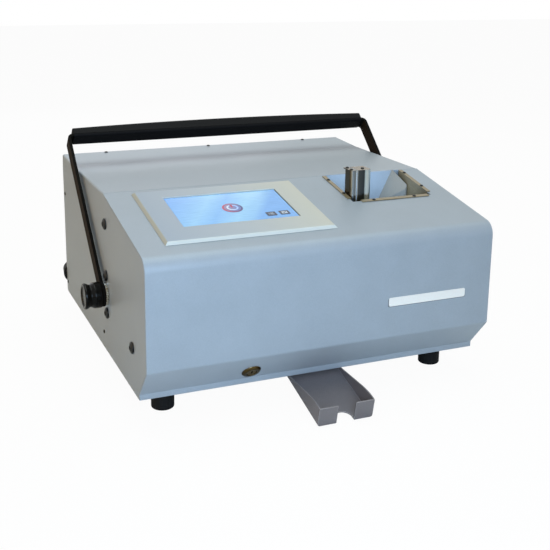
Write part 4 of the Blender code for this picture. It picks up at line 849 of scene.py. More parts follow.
def own_copy(piece: Piece, name: str, matrix: Matrix) -> Piece:
    """A copy with its own mesh, set in a frame.

    Args:
        piece: the piece to copy.
        name: the copy's name.
        matrix: the frame.

    Returns:
        The copy.
    """
    select_only(piece)
    bpy.ops.object.duplicate(linked=False)
    return move_to(newest(name), matrix)


def apply_modifier(piece: Piece, kind: str, settings: dict[str, Any]) -> Piece:
    """Adds one modifier, sets it and applies it.

    Args:
        piece: the piece to change.
        kind: the modifier's type.
        settings: its attributes.

    Returns:
        The same piece.
    """
    step = piece.modifiers.new(kind.title(), kind)
    for key, value in settings.items():
        setattr(step, key, value)
    select_only(piece)
    bpy.ops.object.modifier_apply(modifier=step.name)
    return piece


def round_edges(piece: Piece, width: float, steps: int = 2, angle: float = 40.0) -> Piece:
    """Rounds every edge that is sharper than an angle in degrees.

    Args:
        piece: the piece to change.
        width: how far the rounding reaches from each edge.
        steps: the number of faces across it.
        angle: how sharp an edge is rounded.

    Returns:
        The same piece.
    """
    settings = {
        "width": width,
        "segments": steps,
        "limit_method": "ANGLE",
        "angle_limit": math.radians(angle),
        "miter_outer": "MITER_ARC",
        "use_clamp_overlap": True,
    }
    return apply_modifier(piece, "BEVEL", settings)


def round_chosen(piece: Piece, width: float, steps: int, chosen: Callable[[Edge], bool]) -> Piece:
    """Rounds the edges that pass a test.

    Args:
        piece: the piece to change.
        width: how far the rounding reaches from the edge.
        steps: the number of faces across it.
        chosen: the test of an edge.

    Returns:
        The same piece.
    """
    with editing(piece, "EDGE", chosen):
        bpy.ops.mesh.bevel(offset=width, segments=steps, affect="EDGES", clamp_overlap=True)
    return piece


def boolean(piece: Piece, tools: Sequence[Piece], operation: str) -> Piece:
    """Cuts tools from a piece or joins them on, one by one, and removes them.

    Args:
        piece: the piece to change.
        tools: the solids.
        operation: whether they are cut off or joined on.

    Returns:
        The same piece.
    """
    for tool in tools:
        settings = {"operation": operation, "solver": "EXACT", "object": tool}
        apply_modifier(piece, "BOOLEAN", settings)
        bpy.data.objects.remove(tool, do_unlink=True)
    return piece


def carve(piece: Piece, *tools: Piece) -> Piece:
    """Cuts each tool from a piece."""
    return boolean(piece, tools, "DIFFERENCE")


def weld_on(piece: Piece, *tools: Piece) -> Piece:
    """Joins each tool to a piece."""
    return boolean(piece, tools, "UNION")


def group(name: str, members: Sequence[Piece]) -> Piece:
    """Makes several loose solids one piece.

    Args:
        name: the new piece's name.
        members: the solids.

    Returns:
        The one piece.
    """
    select_only(*members)
    bpy.ops.object.join()
    return newest(name)


def refined(node: str, width: float, steps: int = 2, angle: float = 40.0) -> Piece:
    """A merged copy of a CAD node with its sharp edges rounded.

    Args:
        node: the CAD node's name.
        width: the rounding's reach from each edge.
        steps: the number of faces across the rounding.
        angle: how sharp an edge is rounded, in degrees.

    Returns:
        The new piece, named for the node.
    """
    piece = bpy.data.objects.new(f"{node}_fine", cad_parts[node].data.copy())
    bpy.context.scene.collection.objects.link(piece)
    piece.data.materials.clear()
    with editing(piece):
        bpy.ops.mesh.remove_doubles(threshold=MERGE * 5)
        bpy.ops.mesh.dissolve_limited(angle_limit=FLAT_ANGLE)
    return round_edges(piece, width, steps, angle)


def hand_over(
    piece: Piece,
    surface: Finish | Material,
    body: Body,
    nodes: Sequence[str] = (),
    smooth: float = SMOOTH_ANGLE,
) -> Piece:
    """Gives a finished piece its material and its place in the moving model.

    Args:
        piece: the piece, settled at the origin.
        surface: its finish or its own material.
        body: the body that it rides on.
        nodes: the CAD nodes that it stands for.
        smooth: the angle below which edges are shaded smooth.

    Returns:
        The same piece.
    """
    piece.data.materials.clear()
    made = surface.material() if isinstance(surface, Finish) else surface
    piece.data.materials.append(made)
    select_only(piece)
    bpy.ops.object.shade_smooth_by_angle(angle=smooth)
    apply_modifier(piece, "WEIGHTED_NORMAL", {"keep_sharp": True})
    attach(piece, body.value)
    if nodes:
        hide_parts(*nodes)
    LOG.info("%s on %s", piece.name, body.value)
    return piece


def dressed(
    node: str, width: float, finish: Finish, body: Body, slot: str, angle: float = 40.0
) -> Piece:
    """Refines a CAD node and hands it over.

    Args:
        node: the CAD node's name.
        width: the rounding's reach from each sharp edge.
        finish: its finish.
        body: the body that it rides on.
        slot: the record's material slot; not used.
        angle: how sharp an edge is rounded, in degrees.

    Returns:
        The finished piece.
    """
    return hand_over(refined(node, width, 2, angle), finish, body, [node])


# The housing's shape


@dataclass(frozen=True)
class BodyShape:
    """The housing's outline and the planes of its sloped faces, in metres."""

    half_width: float = 0.2325
    front: float = -0.2173
    depth: float = 0.460
    base: float = 0.032
    rear_height: float = 0.2185
    crease_height: float = 0.2155
    crease_setback: float = 0.382
    seam_height: float = 0.2165
    seam_setback: float = 0.195
    seam_gap: float = 0.0004
    brow_height: float = 0.1815
    brow_radius: float = 0.018
    chamfer_top: float = 0.047
    chamfer_radius: float = 0.006
    lip_setback: float = 0.0335
    lip_height: float = 0.0075
    lid_sheet: float = 0.002
    cover_sheet: float = 0.0015

    def at(self, setback: float, height: float) -> Flat:
        """Y and Z of a place behind the front face and above the lip."""
        return (self.front + setback, self.base + height)

    @property
    def slope(self) -> float:
        """Tilt of the lid's upper face."""
        return math.atan2(self.seam_height - self.brow_height, self.seam_setback)

    @property
    def chamfer(self) -> float:
        """Tilt of the face under the front."""
        return math.atan2(self.chamfer_top - self.lip_height, self.lip_setback)

    def on_slope(self, left: float, down: float = 0.0) -> Matrix:
        """The frame of a place on the upper face: X right, Y up the slope, Z off the sheet.

        Args:
            left: distance from the housing's left side.
            down: distance down the slope from the seam.

        Returns:
            The frame's matrix.
        """
        y, z = self.at(self.seam_setback, self.seam_height)
        seam = Matrix.Translation((left - self.half_width, y, z))
        return seam @ Matrix.Rotation(self.slope, 4, "X") @ Matrix.Translation((0, -down, 0))

    def on_chamfer(self, left: float, down: float) -> Matrix:
        """The frame of a place on the chamfer, with Z out of the sheet.

        Args:
            left: distance from the housing's left side.
            down: distance down the chamfer.

        Returns:
            The frame's matrix.
        """
        y, z = self.at(0, self.chamfer_top)
        corner = Matrix.Translation((left - self.half_width, y, z))
        turn = Matrix.Rotation(math.pi - self.chamfer, 4, "X")
        return corner @ turn @ Matrix.Translation((0, -down, 0))

    def on_side(self, side: int, setback: float, height: float, outward: float = 0.0) -> Matrix:
        """The frame of a place on the left (-1) or right (1) side, with Z outwards.

        Args:
            side: -1 for left or 1 for right.
            setback: distance behind the front face.
            height: height above the base.
            outward: distance off the side.

        Returns:
            The frame's matrix.
        """
        y, z = self.at(setback, height)
        place = Matrix.Translation((side * (self.half_width + outward), y, z))
        return place @ Matrix.Rotation(side * RIGHT_ANGLE, 4, "Y")


@dataclass(frozen=True)
class Window:
    """Where the lit panel lies on the upper face, from the left side and down from the seam."""

    left: float = 0.0693
    start: float = 0.0385
    width: float = 0.1522
    length: float = 0.0875


SHAPE = BodyShape()
WINDOW = Window()
LOCK_PLACE = (0.1375, 0.034)


def bend(before: Flat, corner: Flat, after: Flat, radius: float, steps: int) -> list[Flat]:
    """The arc that rounds a corner of an outline.

    Args:
        before: the outline's corner before it.
        corner: the sharp corner.
        after: the outline's corner after it.
        radius: the bend's radius.
        steps: the number of steps along it.

    Returns:
        The arc's points.
    """
    here = Vector(corner)
    back = (Vector(before) - here).normalized()
    onward = (Vector(after) - here).normalized()
    half = back.angle(onward) / 2
    centre = here + (back + onward).normalized() * radius / math.sin(half)
    first = here + back * radius / math.tan(half) - centre
    last = here + onward * radius / math.tan(half) - centre
    sweep = math.atan2(first.x * last.y - first.y * last.x, first.dot(last))
    start = math.atan2(first.y, first.x)
    turns = [start + sweep * step / steps for step in range(steps + 1)]
    return [(centre.x + radius * math.cos(a), centre.y + radius * math.sin(a)) for a in turns]


def beside(path: Sequence[Flat], distance: float) -> list[Flat]:
    """An open path moved to its left, with mitred corners.

    Args:
        path: the path's points.
        distance: how far it is moved.

    Returns:
        The moved points.
    """
    points = [Vector(point) for point in path]
    runs = [(after - before).normalized() for before, after in zip(points, points[1:])]
    lefts = [Vector((-run.y, run.x)) for run in runs]
    pairs = zip(points, [lefts[0]] + lefts, lefts + [lefts[-1]])
    return [tuple(point + (one + two) * distance / (1 + one.dot(two))) for point, one, two in pairs]


# Sub-assemblies


@dataclass
class Fasteners:
    """Button-head bolts and small black screws, each modelled once and copied."""

    head_radius: float = 0.0075
    head_height: float = 0.0038
    head_rim: float = 0.0012
    socket_radius: float = 0.0029
    socket_depth: float = 0.0022
    shank_radius: float = 0.004
    shank: float = 0.006
    small_radius: float = 0.0026
    small_height: float = 0.0013
    bolts: tuple[tuple[str, float, float], ...] = (
        ("top", 0.1868, 0.178), ("upper", 0.1868, 0.1085), ("lower", 0.1868, 0.057),
        ("front", 0.0605, 0.057),
    )
    side_screws: tuple[Flat, ...] = ((0.2087, 0.0232), (0.449, 0.159), (0.452, 0.0165))
    top_screws: tuple[float, ...] = (-0.1665, 0.0, 0.1665)
    top_inset: float = 0.0075
    sunk: float = 0.0001
    made: int = 0

    def build(self) -> None:
        """Models the two patterns and sets the bolts and the housing's screws."""
        self.bolt, self.screw = self.model_bolt(), self.model_screw()
        for side, word in SIDES.items():
            for where, setback, height in self.bolts:
                node = f"bolt_{word}_{where}"
                bolt = own_copy(self.bolt, f"button_{node}", SHAPE.on_side(side, setback, height))
                hand_over(bolt, BLACK_OXIDE, Body.CHASSIS, [node])
            for setback, height in self.side_screws:
                self.set_screw(SHAPE.on_side(side, setback, height), Body.CHASSIS)
        y, z = SHAPE.at(SHAPE.depth - self.top_inset, SHAPE.rear_height)
        for x in self.top_screws:
            self.set_screw(Matrix.Translation((x, y, z - self.sunk)), Body.CHASSIS)

    def clear_patterns(self) -> None:
        """Removes the two patterns when every copy is set."""
        for pattern in (self.bolt, self.screw):
            bpy.data.objects.remove(pattern, do_unlink=True)

    def model_bolt(self) -> Piece:
        """A domed head with a hexagon socket on its shank.

        Returns:
            The pattern.
        """
        high, radius, rim = self.head_height, self.head_radius, self.head_rim
        turns = [math.radians(step) for step in range(0, 61, 10)]
        profile = [
            (0, -self.shank), (self.shank_radius, -self.shank), (self.shank_radius, 0.0003),
            (radius - 0.0004, 0.0003), (radius, 0.0007),
            *((radius * math.cos(a), rim + (high - rim) * math.sin(a)) for a in turns),
            (self.socket_radius * 1.3, high), (0, high),
        ]
        low = (0, 0, high - self.socket_depth)
        socket = rod("socket", self.socket_radius, low, (0, 0, high + PIERCE), 6)
        bolt = turned_piece("bolt_pattern", profile, 32)
        return round_edges(carve(bolt, socket), 0.00015, 1, 50)

    def model_screw(self) -> Piece:
        """A small pan head with a hexagon socket.

        Returns:
            The pattern.
        """
        high, radius, low = self.small_height, self.small_radius, 0.00005
        profile = [
            (0, low), (radius, low), (radius, high * 0.45), (radius * 0.86, high * 0.8),
            (radius * 0.6, high), (0, high),
        ]
        screw = turned_piece("screw_pattern", profile, 20)
        return carve(screw, rod("socket", radius * 0.42, (0, 0, high * 0.35), (0, 0, PIERCE), 6))

    def set_screw(self, matrix: Matrix, body: Body, scale: float = 1.0) -> None:
        """Sets one small screw with its head's underside in a frame.

        Args:
            matrix: the frame.
            body: the body that it rides on.
            scale: its size beside the pattern's.
        """
        self.made += 1
        placed = matrix @ Matrix.Scale(scale, 4)
        screw = own_copy(self.screw, f"small_screw_{self.made:02d}", placed)
        hand_over(screw, BLACK_OXIDE, body)


@dataclass
class Housing:
    """Rear cover, side panels, rear panel, base and frame plates."""

    edge: float = 0.0004
    crease_radius: float = 0.05
    rear_radius: float = 0.003
    low_radius: float = 0.006
    cover_radius: float = 0.0025
    flange_depth: float = 0.040
    flange_inset: float = 0.0185

    def build(self) -> None:
        """Builds every sheet of the fixed housing."""
        self.build_cover()
        for word in SIDES.values():
            self.build_sheet(f"side_panel_{word}", POWDER_COAT, "housing_paint")
            self.build_sheet(f"frame_plate_{word}", ZINC_PLATE, "zinc_steel")
        self.build_sheet("rear_panel", POWDER_COAT, "housing_paint")
        self.build_sheet("base_plate", ZINC_PLATE, "zinc_steel")

    def build_sheet(self, node: str, finish: Finish, slot: str) -> None:
        """Refines one sheet."""
        dressed(node, self.edge, finish, Body.CHASSIS, slot)

    def build_cover(self) -> None:
        """Bends the rear cover: a soft crease across its top, and round top and rear edges."""
        front = SHAPE.front + SHAPE.seam_setback + SHAPE.seam_gap / 2
        seam, low = (front, SHAPE.base + SHAPE.seam_height), (front, SHAPE.base)
        crease = SHAPE.at(SHAPE.crease_setback, SHAPE.crease_height)
        rear_top = SHAPE.at(SHAPE.depth, SHAPE.rear_height)
        rear_low = SHAPE.at(SHAPE.depth, 0)
        outline = [
            seam,
            *bend(seam, crease, rear_top, self.crease_radius, 8),
            *bend(crease, rear_top, rear_low, self.rear_radius, 5),
            *bend(rear_top, rear_low, low, self.low_radius, 6),
            low,
        ]
        cover = folded("rear_cover_fine", outline, -SHAPE.half_width, SHAPE.half_width)
        top = min(seam[1], crease[1]) - MILLIMETRE

        def along_top(edge: Edge) -> bool:
            """Whether an edge runs along the top at one side."""
            return all(vert.co.z > top for vert in edge.verts) and span(edge).x < MERGE

        round_chosen(cover, self.cover_radius, 5, along_top)
        carve(cover, *self.cover_tools(front, crease, rear_top))
        round_edges(cover, 0.00035, 2, 60)
        hand_over(cover, POWDER_COAT, Body.CHASSIS, ["rear_cover"])

    def cover_tools(self, front: float, crease: Flat, rear_top: Flat) -> list[Piece]:
        """The solids that leave the cover's sheet and its front flange.

        Args:
            front: Y of the cover's front edge.
            crease: Y and Z of the crease.
            rear_top: Y and Z of the upper rear corner.

        Returns:
            The solids.
        """
        sheet, low = SHAPE.cover_sheet, SHAPE.base - PIERCE
        inside, behind, beyond = SHAPE.half_width - sheet, front + sheet, rear_top[0] + PIERCE
        under = SHAPE.base + SHAPE.seam_height - sheet
        hollow = [
            (behind, under), (crease[0], crease[1] - sheet), (beyond, rear_top[1] - sheet),
            (beyond, low), (behind, low),
        ]
        below = under + sheet - self.flange_depth
        tools = [
            folded("cover_hollow", hollow, -inside, inside),
            block("cover_below", (-inside, front - PIERCE, low), (inside, behind + sheet, below)),
        ]
        for side in SIDES:
            near, far = sorted((side * (SHAPE.half_width - self.flange_inset), side * inside))
            corner = (near, front - PIERCE, low)
            tools.append(block("cover_corner", corner, (far, behind + sheet, under)))
        return tools


@dataclass
class FrontLid:
    """The bent sheet with slope, front face, chamfer and lip, and its two hinge arms."""

    edge: float = 0.0004
    lip_radius: float = 0.0015
    opening_left: float = 0.3155
    opening_right: float = 0.4325
    opening_length: float = 0.092
    lock_radius: float = 0.0098
    gap: float = 0.0003
    through: float = 0.01
    plate_left: float = 0.314
    plate_right: float = 0.4265
    plate_low: float = 0.0885
    plate_high: float = 0.0999
    plate_back: float = 0.00004
    plate_radius: float = 0.0022
    shadow_margin: float = 0.0009

    def build(self) -> None:
        """Builds the lid's sheet, its arms and the blank plate on its front."""
        outer = self.outline()
        outline = outer + beside(outer, SHAPE.lid_sheet)[::-1]
        lid = folded("front_lid_fine", outline, -SHAPE.half_width, SHAPE.half_width)
        round_edges(carve(lid, *self.openings()), 0.0005, 3, 50)
        hand_over(lid, POWDER_COAT, Body.LID, ["front_lid"])
        for word in SIDES.values():
            dressed(f"hinge_arm_{word}", self.edge, ZINC_PLATE, Body.LID, "zinc_steel")
        # A grey sheet behind the plate: the plate's painted shadow.
        self.build_plate("plate_painted_shadow", self.shadow_margin, 0.0003, PLATE_SHADOW_GREY)
        self.build_plate("blank_plate", 0.0, 0.0008, WHITE_ACRYLIC)

    def outline(self) -> list[Flat]:
        """The sheet's outer line from the seam to the lip.

        Returns:
            The line's points.
        """
        gap = SHAPE.seam_gap / 2
        seam_height = SHAPE.seam_height - gap * math.tan(SHAPE.slope)
        seam = SHAPE.at(SHAPE.seam_setback - gap, seam_height)
        brow = SHAPE.at(0, SHAPE.brow_height)
        corner = SHAPE.at(0, SHAPE.chamfer_top)
        lip = SHAPE.at(SHAPE.lip_setback, SHAPE.lip_height)
        end = SHAPE.at(SHAPE.lip_setback, 0)
        return [
            seam,
            *bend(seam, brow, corner, SHAPE.brow_radius, 24),
            *bend(brow, corner, lip, SHAPE.chamfer_radius, 8),
            *bend(corner, lip, end, self.lip_radius, 4),
            end,
        ]

    def openings(self) -> list[Piece]:
        """The solids that cut the window, the loading opening and the lock's hole.

        Returns:
            The solids.
        """
        gap, deep, wall = self.gap, self.through, MILLIMETRE + self.gap
        window = block(
            "window", (-gap, -WINDOW.length - gap, -deep), (WINDOW.width + gap, gap, deep)
        )
        reach = self.opening_right - self.opening_left + wall
        low = (-wall, -self.opening_length - gap, -deep)
        opening = block("opening", low, (reach, 0.09, deep))
        hole = rod("hole", self.lock_radius, (0, 0, -deep), (0, 0, deep))
        return [
            move_to(window, SHAPE.on_slope(WINDOW.left, WINDOW.start)),
            move_to(opening, SHAPE.on_slope(self.opening_left)),
            move_to(hole, SHAPE.on_chamfer(*LOCK_PLACE)),
        ]

    def build_plate(self, name: str, margin: float, out: float, finish: Finish) -> None:
        """The blank plate low on the front face, or the grey sheet behind it, which is wider by a
        margin and set lower, as the plate's painted shadow.

        Args:
            name: the piece's name.
            margin: how far it reaches past the plate's edges.
            out: how far its face stands out.
            finish: its finish.
        """
        left, right = self.plate_left - SHAPE.half_width, self.plate_right - SHAPE.half_width
        low, high = SHAPE.base + self.plate_low, SHAPE.base + self.plate_high
        plate = block(
            name,
            (left - margin, SHAPE.front - out, low - margin),
            (right + margin, SHAPE.front - self.plate_back, high - margin),
        )
        round_chosen(plate, self.plate_radius, 5, lambda edge: span(edge).y > 0.0002)
        round_edges(plate, 0.00008, 2, 60)
        hand_over(plate, finish, Body.LID)


@dataclass
class Screen:
    """The raised bezel plate, the lit panel and its generic symbols."""

    rise: float = 0.0026
    bezel_left: float = 0.0342
    bezel_start: float = 0.0115
    bezel_width: float = 0.2225
    bezel_length: float = 0.1528
    bezel_low: float = 0.0003
    bezel_top: float = 0.0039
    rim: float = 0.0034
    gap: float = 0.0009
    front_gap: float = 0.0003
    smooth: float = math.radians(8)
    layer: float = 0.00006
    power_left: float = 0.1464
    power_down: float = 0.0835
    power_radius: float = 0.0134
    list_place: Flat = (0.1887, 0.1108)
    tick_place: Flat = (0.2068, 0.1104)
    line_pitch: float = 0.0021
    line_half: float = 0.0005
    mark_low: float = 0.0003
    mark_top: float = 0.0004
    tick_low: float = 0.00045
    tick: tuple[Flat, ...] = (
        (-0.0026, 0.0002), (-0.0008, -0.0018), (0.0028, 0.0020),
        (0.0021, 0.0026), (-0.0008, -0.0004), (-0.0019, 0.0009),
    )

    def build(self) -> None:
        """Builds the bezel, the panel and the symbols."""
        self.build_bezel()
        panel = refined("touch_display", 0.0002, 1)
        corner = SHAPE.on_slope(WINDOW.left, WINDOW.start).translation
        surface = ScreenGlass().material(corner, SHAPE.slope)
        hand_over(panel, surface, Body.LID, ["touch_display"])
        self.build_power_symbol()
        self.build_list_symbol(SHAPE.on_slope(*self.list_place))
        self.build_tick_symbol(SHAPE.on_slope(*self.tick_place))

    def build_bezel(self) -> None:
        """A plate whose rim slopes down to the lid on all four sides, with the display's window."""
        wide, long, rim, top = self.bezel_width, self.bezel_length, self.rim, self.bezel_top
        plate = block("screen_bezel_fine", (0, -long, self.bezel_low), (wide, 0, top))
        with editing(plate, "FACE", lambda face: face.normal.z > 0.5):
            shrink = (1 - rim * 2 / wide, 1 - rim * 2 / long, 1)
            bpy.ops.transform.resize(value=shrink, center_override=(wide / 2, -long / 2, 0))
        low = self.bezel_low + 0.0004
        round_chosen(plate, 0.0008, 2, lambda edge: all(vert.co.z > low for vert in edge.verts))
        left, start = WINDOW.left - self.bezel_left, WINDOW.start - self.bezel_start
        window = block(
            "window",
            (left - self.gap, -start - WINDOW.length - self.front_gap, -PIERCE),
            (left + WINDOW.width + self.gap, -start + self.gap, top + PIERCE),
        )
        round_edges(carve(plate, window), 0.0003, 2, 60)
        move_to(plate, SHAPE.on_slope(self.bezel_left, self.bezel_start))
        # Painted reflections and highlights on the bezel, laid over its width.
        surface = SATIN_ALUMINIUM.material(self.bezel_left - SHAPE.half_width, wide)
        hand_over(plate, surface, Body.LID, ["screen_bezel"], self.smooth)

    def symbol(self, piece: Piece, place: Matrix, surface: Finish | Material) -> None:
        """Puts one thin symbol on the panel, at a place of the lid's upper face."""
        move_to(piece, place @ Matrix.Translation((0, 0, self.rise)))
        hand_over(piece, surface, Body.LID)

    def build_power_symbol(self) -> None:
        """A round button with an open ring and a bar, with heights in thin layers."""
        radius, layer = self.power_radius, self.layer
        place = SHAPE.on_slope(self.power_left, self.power_down)
        start = self.power_left - radius - SHAPE.half_width
        rim = ((0, 1), (radius - 0.0004, 1), (radius, 3), (radius - 0.001, 4), (0, 4))
        face = ((0, 5), (0.0109, 5), (0.0099, 8), (0, 9))
        ring = ((0.0055, 8), (0.0077, 8), (0.0077, 12), (0.0055, 12))
        for name, mark, profile in (
            ("power_rim", MARK_RIM, rim),
            ("power_face", MARK_FACE, face),
            ("power_ring", MARK_RING, ring),
        ):
            is_ring = mark is MARK_RING
            spots = [(out, layer * level) for out, level in profile]
            piece = turned_piece(name, spots, 64, is_ring)
            if is_ring:
                carve(piece, block("ring_gap", (-0.002, 0, 0), (0.002, 0.012, 0.01)))
            self.symbol(piece, place, mark.material(start, radius * 2))
        bar = block("power_bar", (-0.001, 0.0005, layer * 8), (0.001, 0.0086, layer * 13))
        self.symbol(round_edges(bar, 0.00025), place, ICON_BAR)

    def build_tile(self, name: str, place: Matrix) -> None:
        """A dark square with round corners, under a symbol.

        Args:
            name: the piece's name.
            place: the symbol's frame.
        """
        tile = block(name, (-0.0066, -0.0056, self.layer), (0.0066, 0.0056, 0.00025))
        round_chosen(tile, 0.0012, 4, lambda edge: span(edge).z > MERGE)
        self.symbol(tile, place, ICON_DARK)

    def mark(self, name: str, low: Flat, high: Flat) -> Piece:
        """A thin light mark with soft edges."""
        return round_edges(block(name, (*low, self.mark_low), (*high, self.mark_top)), 0.0001, 1)

    def build_list_symbol(self, place: Matrix) -> None:
        """A tile with three short lines beside dots.

        Args:
            place: the symbol's frame.
        """
        self.build_tile("list_tile", place)
        marks = []
        for row in (-1, 0, 1):
            low = row * self.line_pitch - self.line_half
            high = row * self.line_pitch + self.line_half
            marks.append(self.mark("line", (-0.0012, low), (0.0034, high)))
            marks.append(self.mark("dot", (-0.0034, low), (-0.0023, high)))
        self.symbol(group("list_lines", marks), place, ICON_LIGHT)

    def build_tick_symbol(self, place: Matrix) -> None:
        """A tile with a light field and a tick on it.

        Args:
            place: the symbol's frame.
        """
        self.build_tile("tick_tile", place)
        field = self.mark("tick_field", (-0.0038, -0.0031), (0.0038, 0.0031))
        self.symbol(field, place, ICON_LIGHT)
        corners = [(x, y, self.tick_low) for x, y in self.tick]
        self.symbol(pushed_plate("tick", corners, (0, 0, 0.0001)), place, ICON_DARK)


@dataclass
class LoadingOpening:
    """The steel angles round the loading opening, the ramp in its corner, and their screws."""

    lift: float = 0.0013
    screws: tuple[Flat, ...] = (
        (0.3127, 0.0186), (0.3127, 0.0663), (0.344, 0.0948), (0.406, 0.0948),
        (0.4353, 0.0155), (0.4353, 0.0643),
    )
    wall_screw: Flat = (0.4325, 0.028)
    wall_screw_depth: float = 0.012
    ramp_low: Spot = (0.1637, -0.0535, 0.1925)
    ramp_high: Spot = (0.1987, -0.0222, 0.2495)
    ramp_corner: Spot = (0.1913, -0.0216, 0.2501)
    ramp_rise: Flat = (2.017, 1.04)
    around: tuple[Flat, ...] = ((0.12, -0.1), (0.24, -0.1), (0.24, 0.02), (0.12, 0.02))
    before: tuple[Flat, ...] = ((0.2343, -0.0930), (0.1284, 0.0176), (0.1, -0.1))
    right: tuple[Flat, ...] = (
        (0.1836, 0.0098), (0.2067, -0.0844), (0.3, -0.0844), (0.3, 0.0098),
    )
    floor: float = 0.18

    def build(self, fasteners: Fasteners) -> None:
        """Builds the guards and the ramp.

        Args:
            fasteners: the screws' maker.
        """
        for side in ("left", "front", "right"):
            dressed(f"hopper_guard_{side}", 0.0003, STAINLESS, Body.LID, "stainless")
        self.build_ramp()
        for left, down in self.screws:
            matrix = SHAPE.on_slope(left, down) @ Matrix.Translation((0, 0, self.lift))
            fasteners.set_screw(matrix, Body.LID, 0.92)
        depth = Matrix.Translation((0, 0, -self.wall_screw_depth))
        wall = SHAPE.on_slope(*self.wall_screw) @ depth
        fasteners.set_screw(wall @ Matrix.Rotation(-RIGHT_ANGLE, 4, "Y"), Body.LID, 0.85)

    def build_ramp(self) -> None:
        """The grey ramp in the rear right corner: a leaning plane over a slanting wall."""
        ramp = block("hopper_ramp_fine", self.ramp_low, self.ramp_high)
        middle_x, middle_y, middle_z = self.ramp_corner
        along_x, along_y = self.ramp_rise
        leaning = [
            (x, y, middle_z + (x - middle_x) * along_x + (y - middle_y) * along_y)
            for x, y in self.around
        ]
        carve(ramp, pushed_plate("above_ramp", leaning, (0, 0, 0.4)))
        for name, side in (("before_ramp", self.before), ("beside_ramp", self.right)):
            corners = [(x, y, self.floor) for x, y in side]
            carve(ramp, pushed_plate(name, corners, (0, 0, 0.1)))
        round_edges(ramp, 0.0004, 2, 20)
        hand_over(ramp, GREY_COAT, Body.CHASSIS, ["hopper_ramp"])


@dataclass
class TagMagazine:
    """The two polished guides that hold the stack, and the block that they stand on."""

    left: float = 0.3168
    width: float = 0.0309
    top: float = 0.239
    screws: tuple[Flat, ...] = ((0.3203, 0.1242), (0.3212, 0.1377), (0.3387, 0.1272))

    def build(self, fasteners: Fasteners) -> None:
        """Builds the guides, their screws and the block.

        Args:
            fasteners: the screws' maker.
        """
        surface = MIRROR_SHEET.material(self.left - SHAPE.half_width, self.width)
        for word in SIDES.values():
            node = f"magazine_guide_{word}"
            hand_over(refined(node, 0.00025), surface, Body.CHASSIS, [node])
        dressed("magazine_base", 0.0006, MILLED_ALUMINIUM, Body.CHASSIS, "aluminium")
        for left, setback in self.screws:
            place = Matrix.Translation((left - SHAPE.half_width, *SHAPE.at(setback, self.top)))
            fasteners.set_screw(place, Body.CHASSIS, 0.9)


@dataclass
class CamLock:
    """The chrome lock in the chamfer."""

    head_radius: float = 0.0124
    head: float = 0.003
    barrel_radius: float = 0.0095
    depth: float = 0.020
    plug_radius: float = 0.0062
    bore_gap: float = 0.0002
    cam_length: float = 0.026
    cam_half: float = 0.006
    cam_sheet: float = 0.003
    cam_radius: float = 0.0055
    keyway_half: Flat = (0.0008, 0.0036)
    keyway_depth: float = 0.004
    gap: float = 0.0003

    def build(self) -> None:
        """Builds the barrel with its domed rim, and the plug with keyway and cam."""
        place = SHAPE.on_chamfer(*LOCK_PLACE)
        bore, barrel, head = self.plug_radius + self.bore_gap, self.barrel_radius, self.head_radius
        gap, top = self.gap, self.head + self.gap
        profile = [
            (bore, -self.depth), (barrel, -self.depth), (barrel, gap), (head - 0.0003, gap),
            (head, gap + 0.0004), (head - 0.0004, gap + 0.0012), (head - 0.0018, top - 0.0006),
            (head - 0.0038, top - 0.0001), (bore + 0.0012, top), (bore + 0.0003, top - 0.0002),
            (bore, top - 0.0006),
        ]
        lock = move_to(turned_piece("lock_barrel_fine", profile, 64, ring=True), place)
        hand_over(lock, LOCK_CHROME, Body.LID, ["lock_barrel"])
        plug = move_to(self.model_plug(top - 0.0008), place)
        hand_over(plug, LOCK_GOLD, Body.LOCK, ["lock_plug"])

    def model_plug(self, face: float) -> Piece:
        """The turning plug with its cam behind and its keyway in front.

        Args:
            face: height of the plug's face off the chamfer.

        Returns:
            The plug with its cam.
        """
        end, radius, half = -self.depth - self.gap - self.cam_sheet, self.plug_radius, self.cam_half
        rim = 0.0003
        profile = [(0, end), (radius, end), (radius, face - rim), (radius - rim, face), (0, face)]
        plug = turned_piece("lock_plug_fine", profile, 48)
        cam = block("cam", (-half, -half, end), (self.cam_length, half, end + self.cam_sheet))
        round_chosen(cam, self.cam_radius, 5, lambda edge: span(edge).z > MILLIMETRE)
        wide, long = self.keyway_half
        low = (-wide, -long, face - self.keyway_depth)
        weld_on(plug, cam)
        carve(plug, block("keyway", low, (wide, long, face + PIERCE)))
        return round_edges(plug, 0.0002, 2, 50)


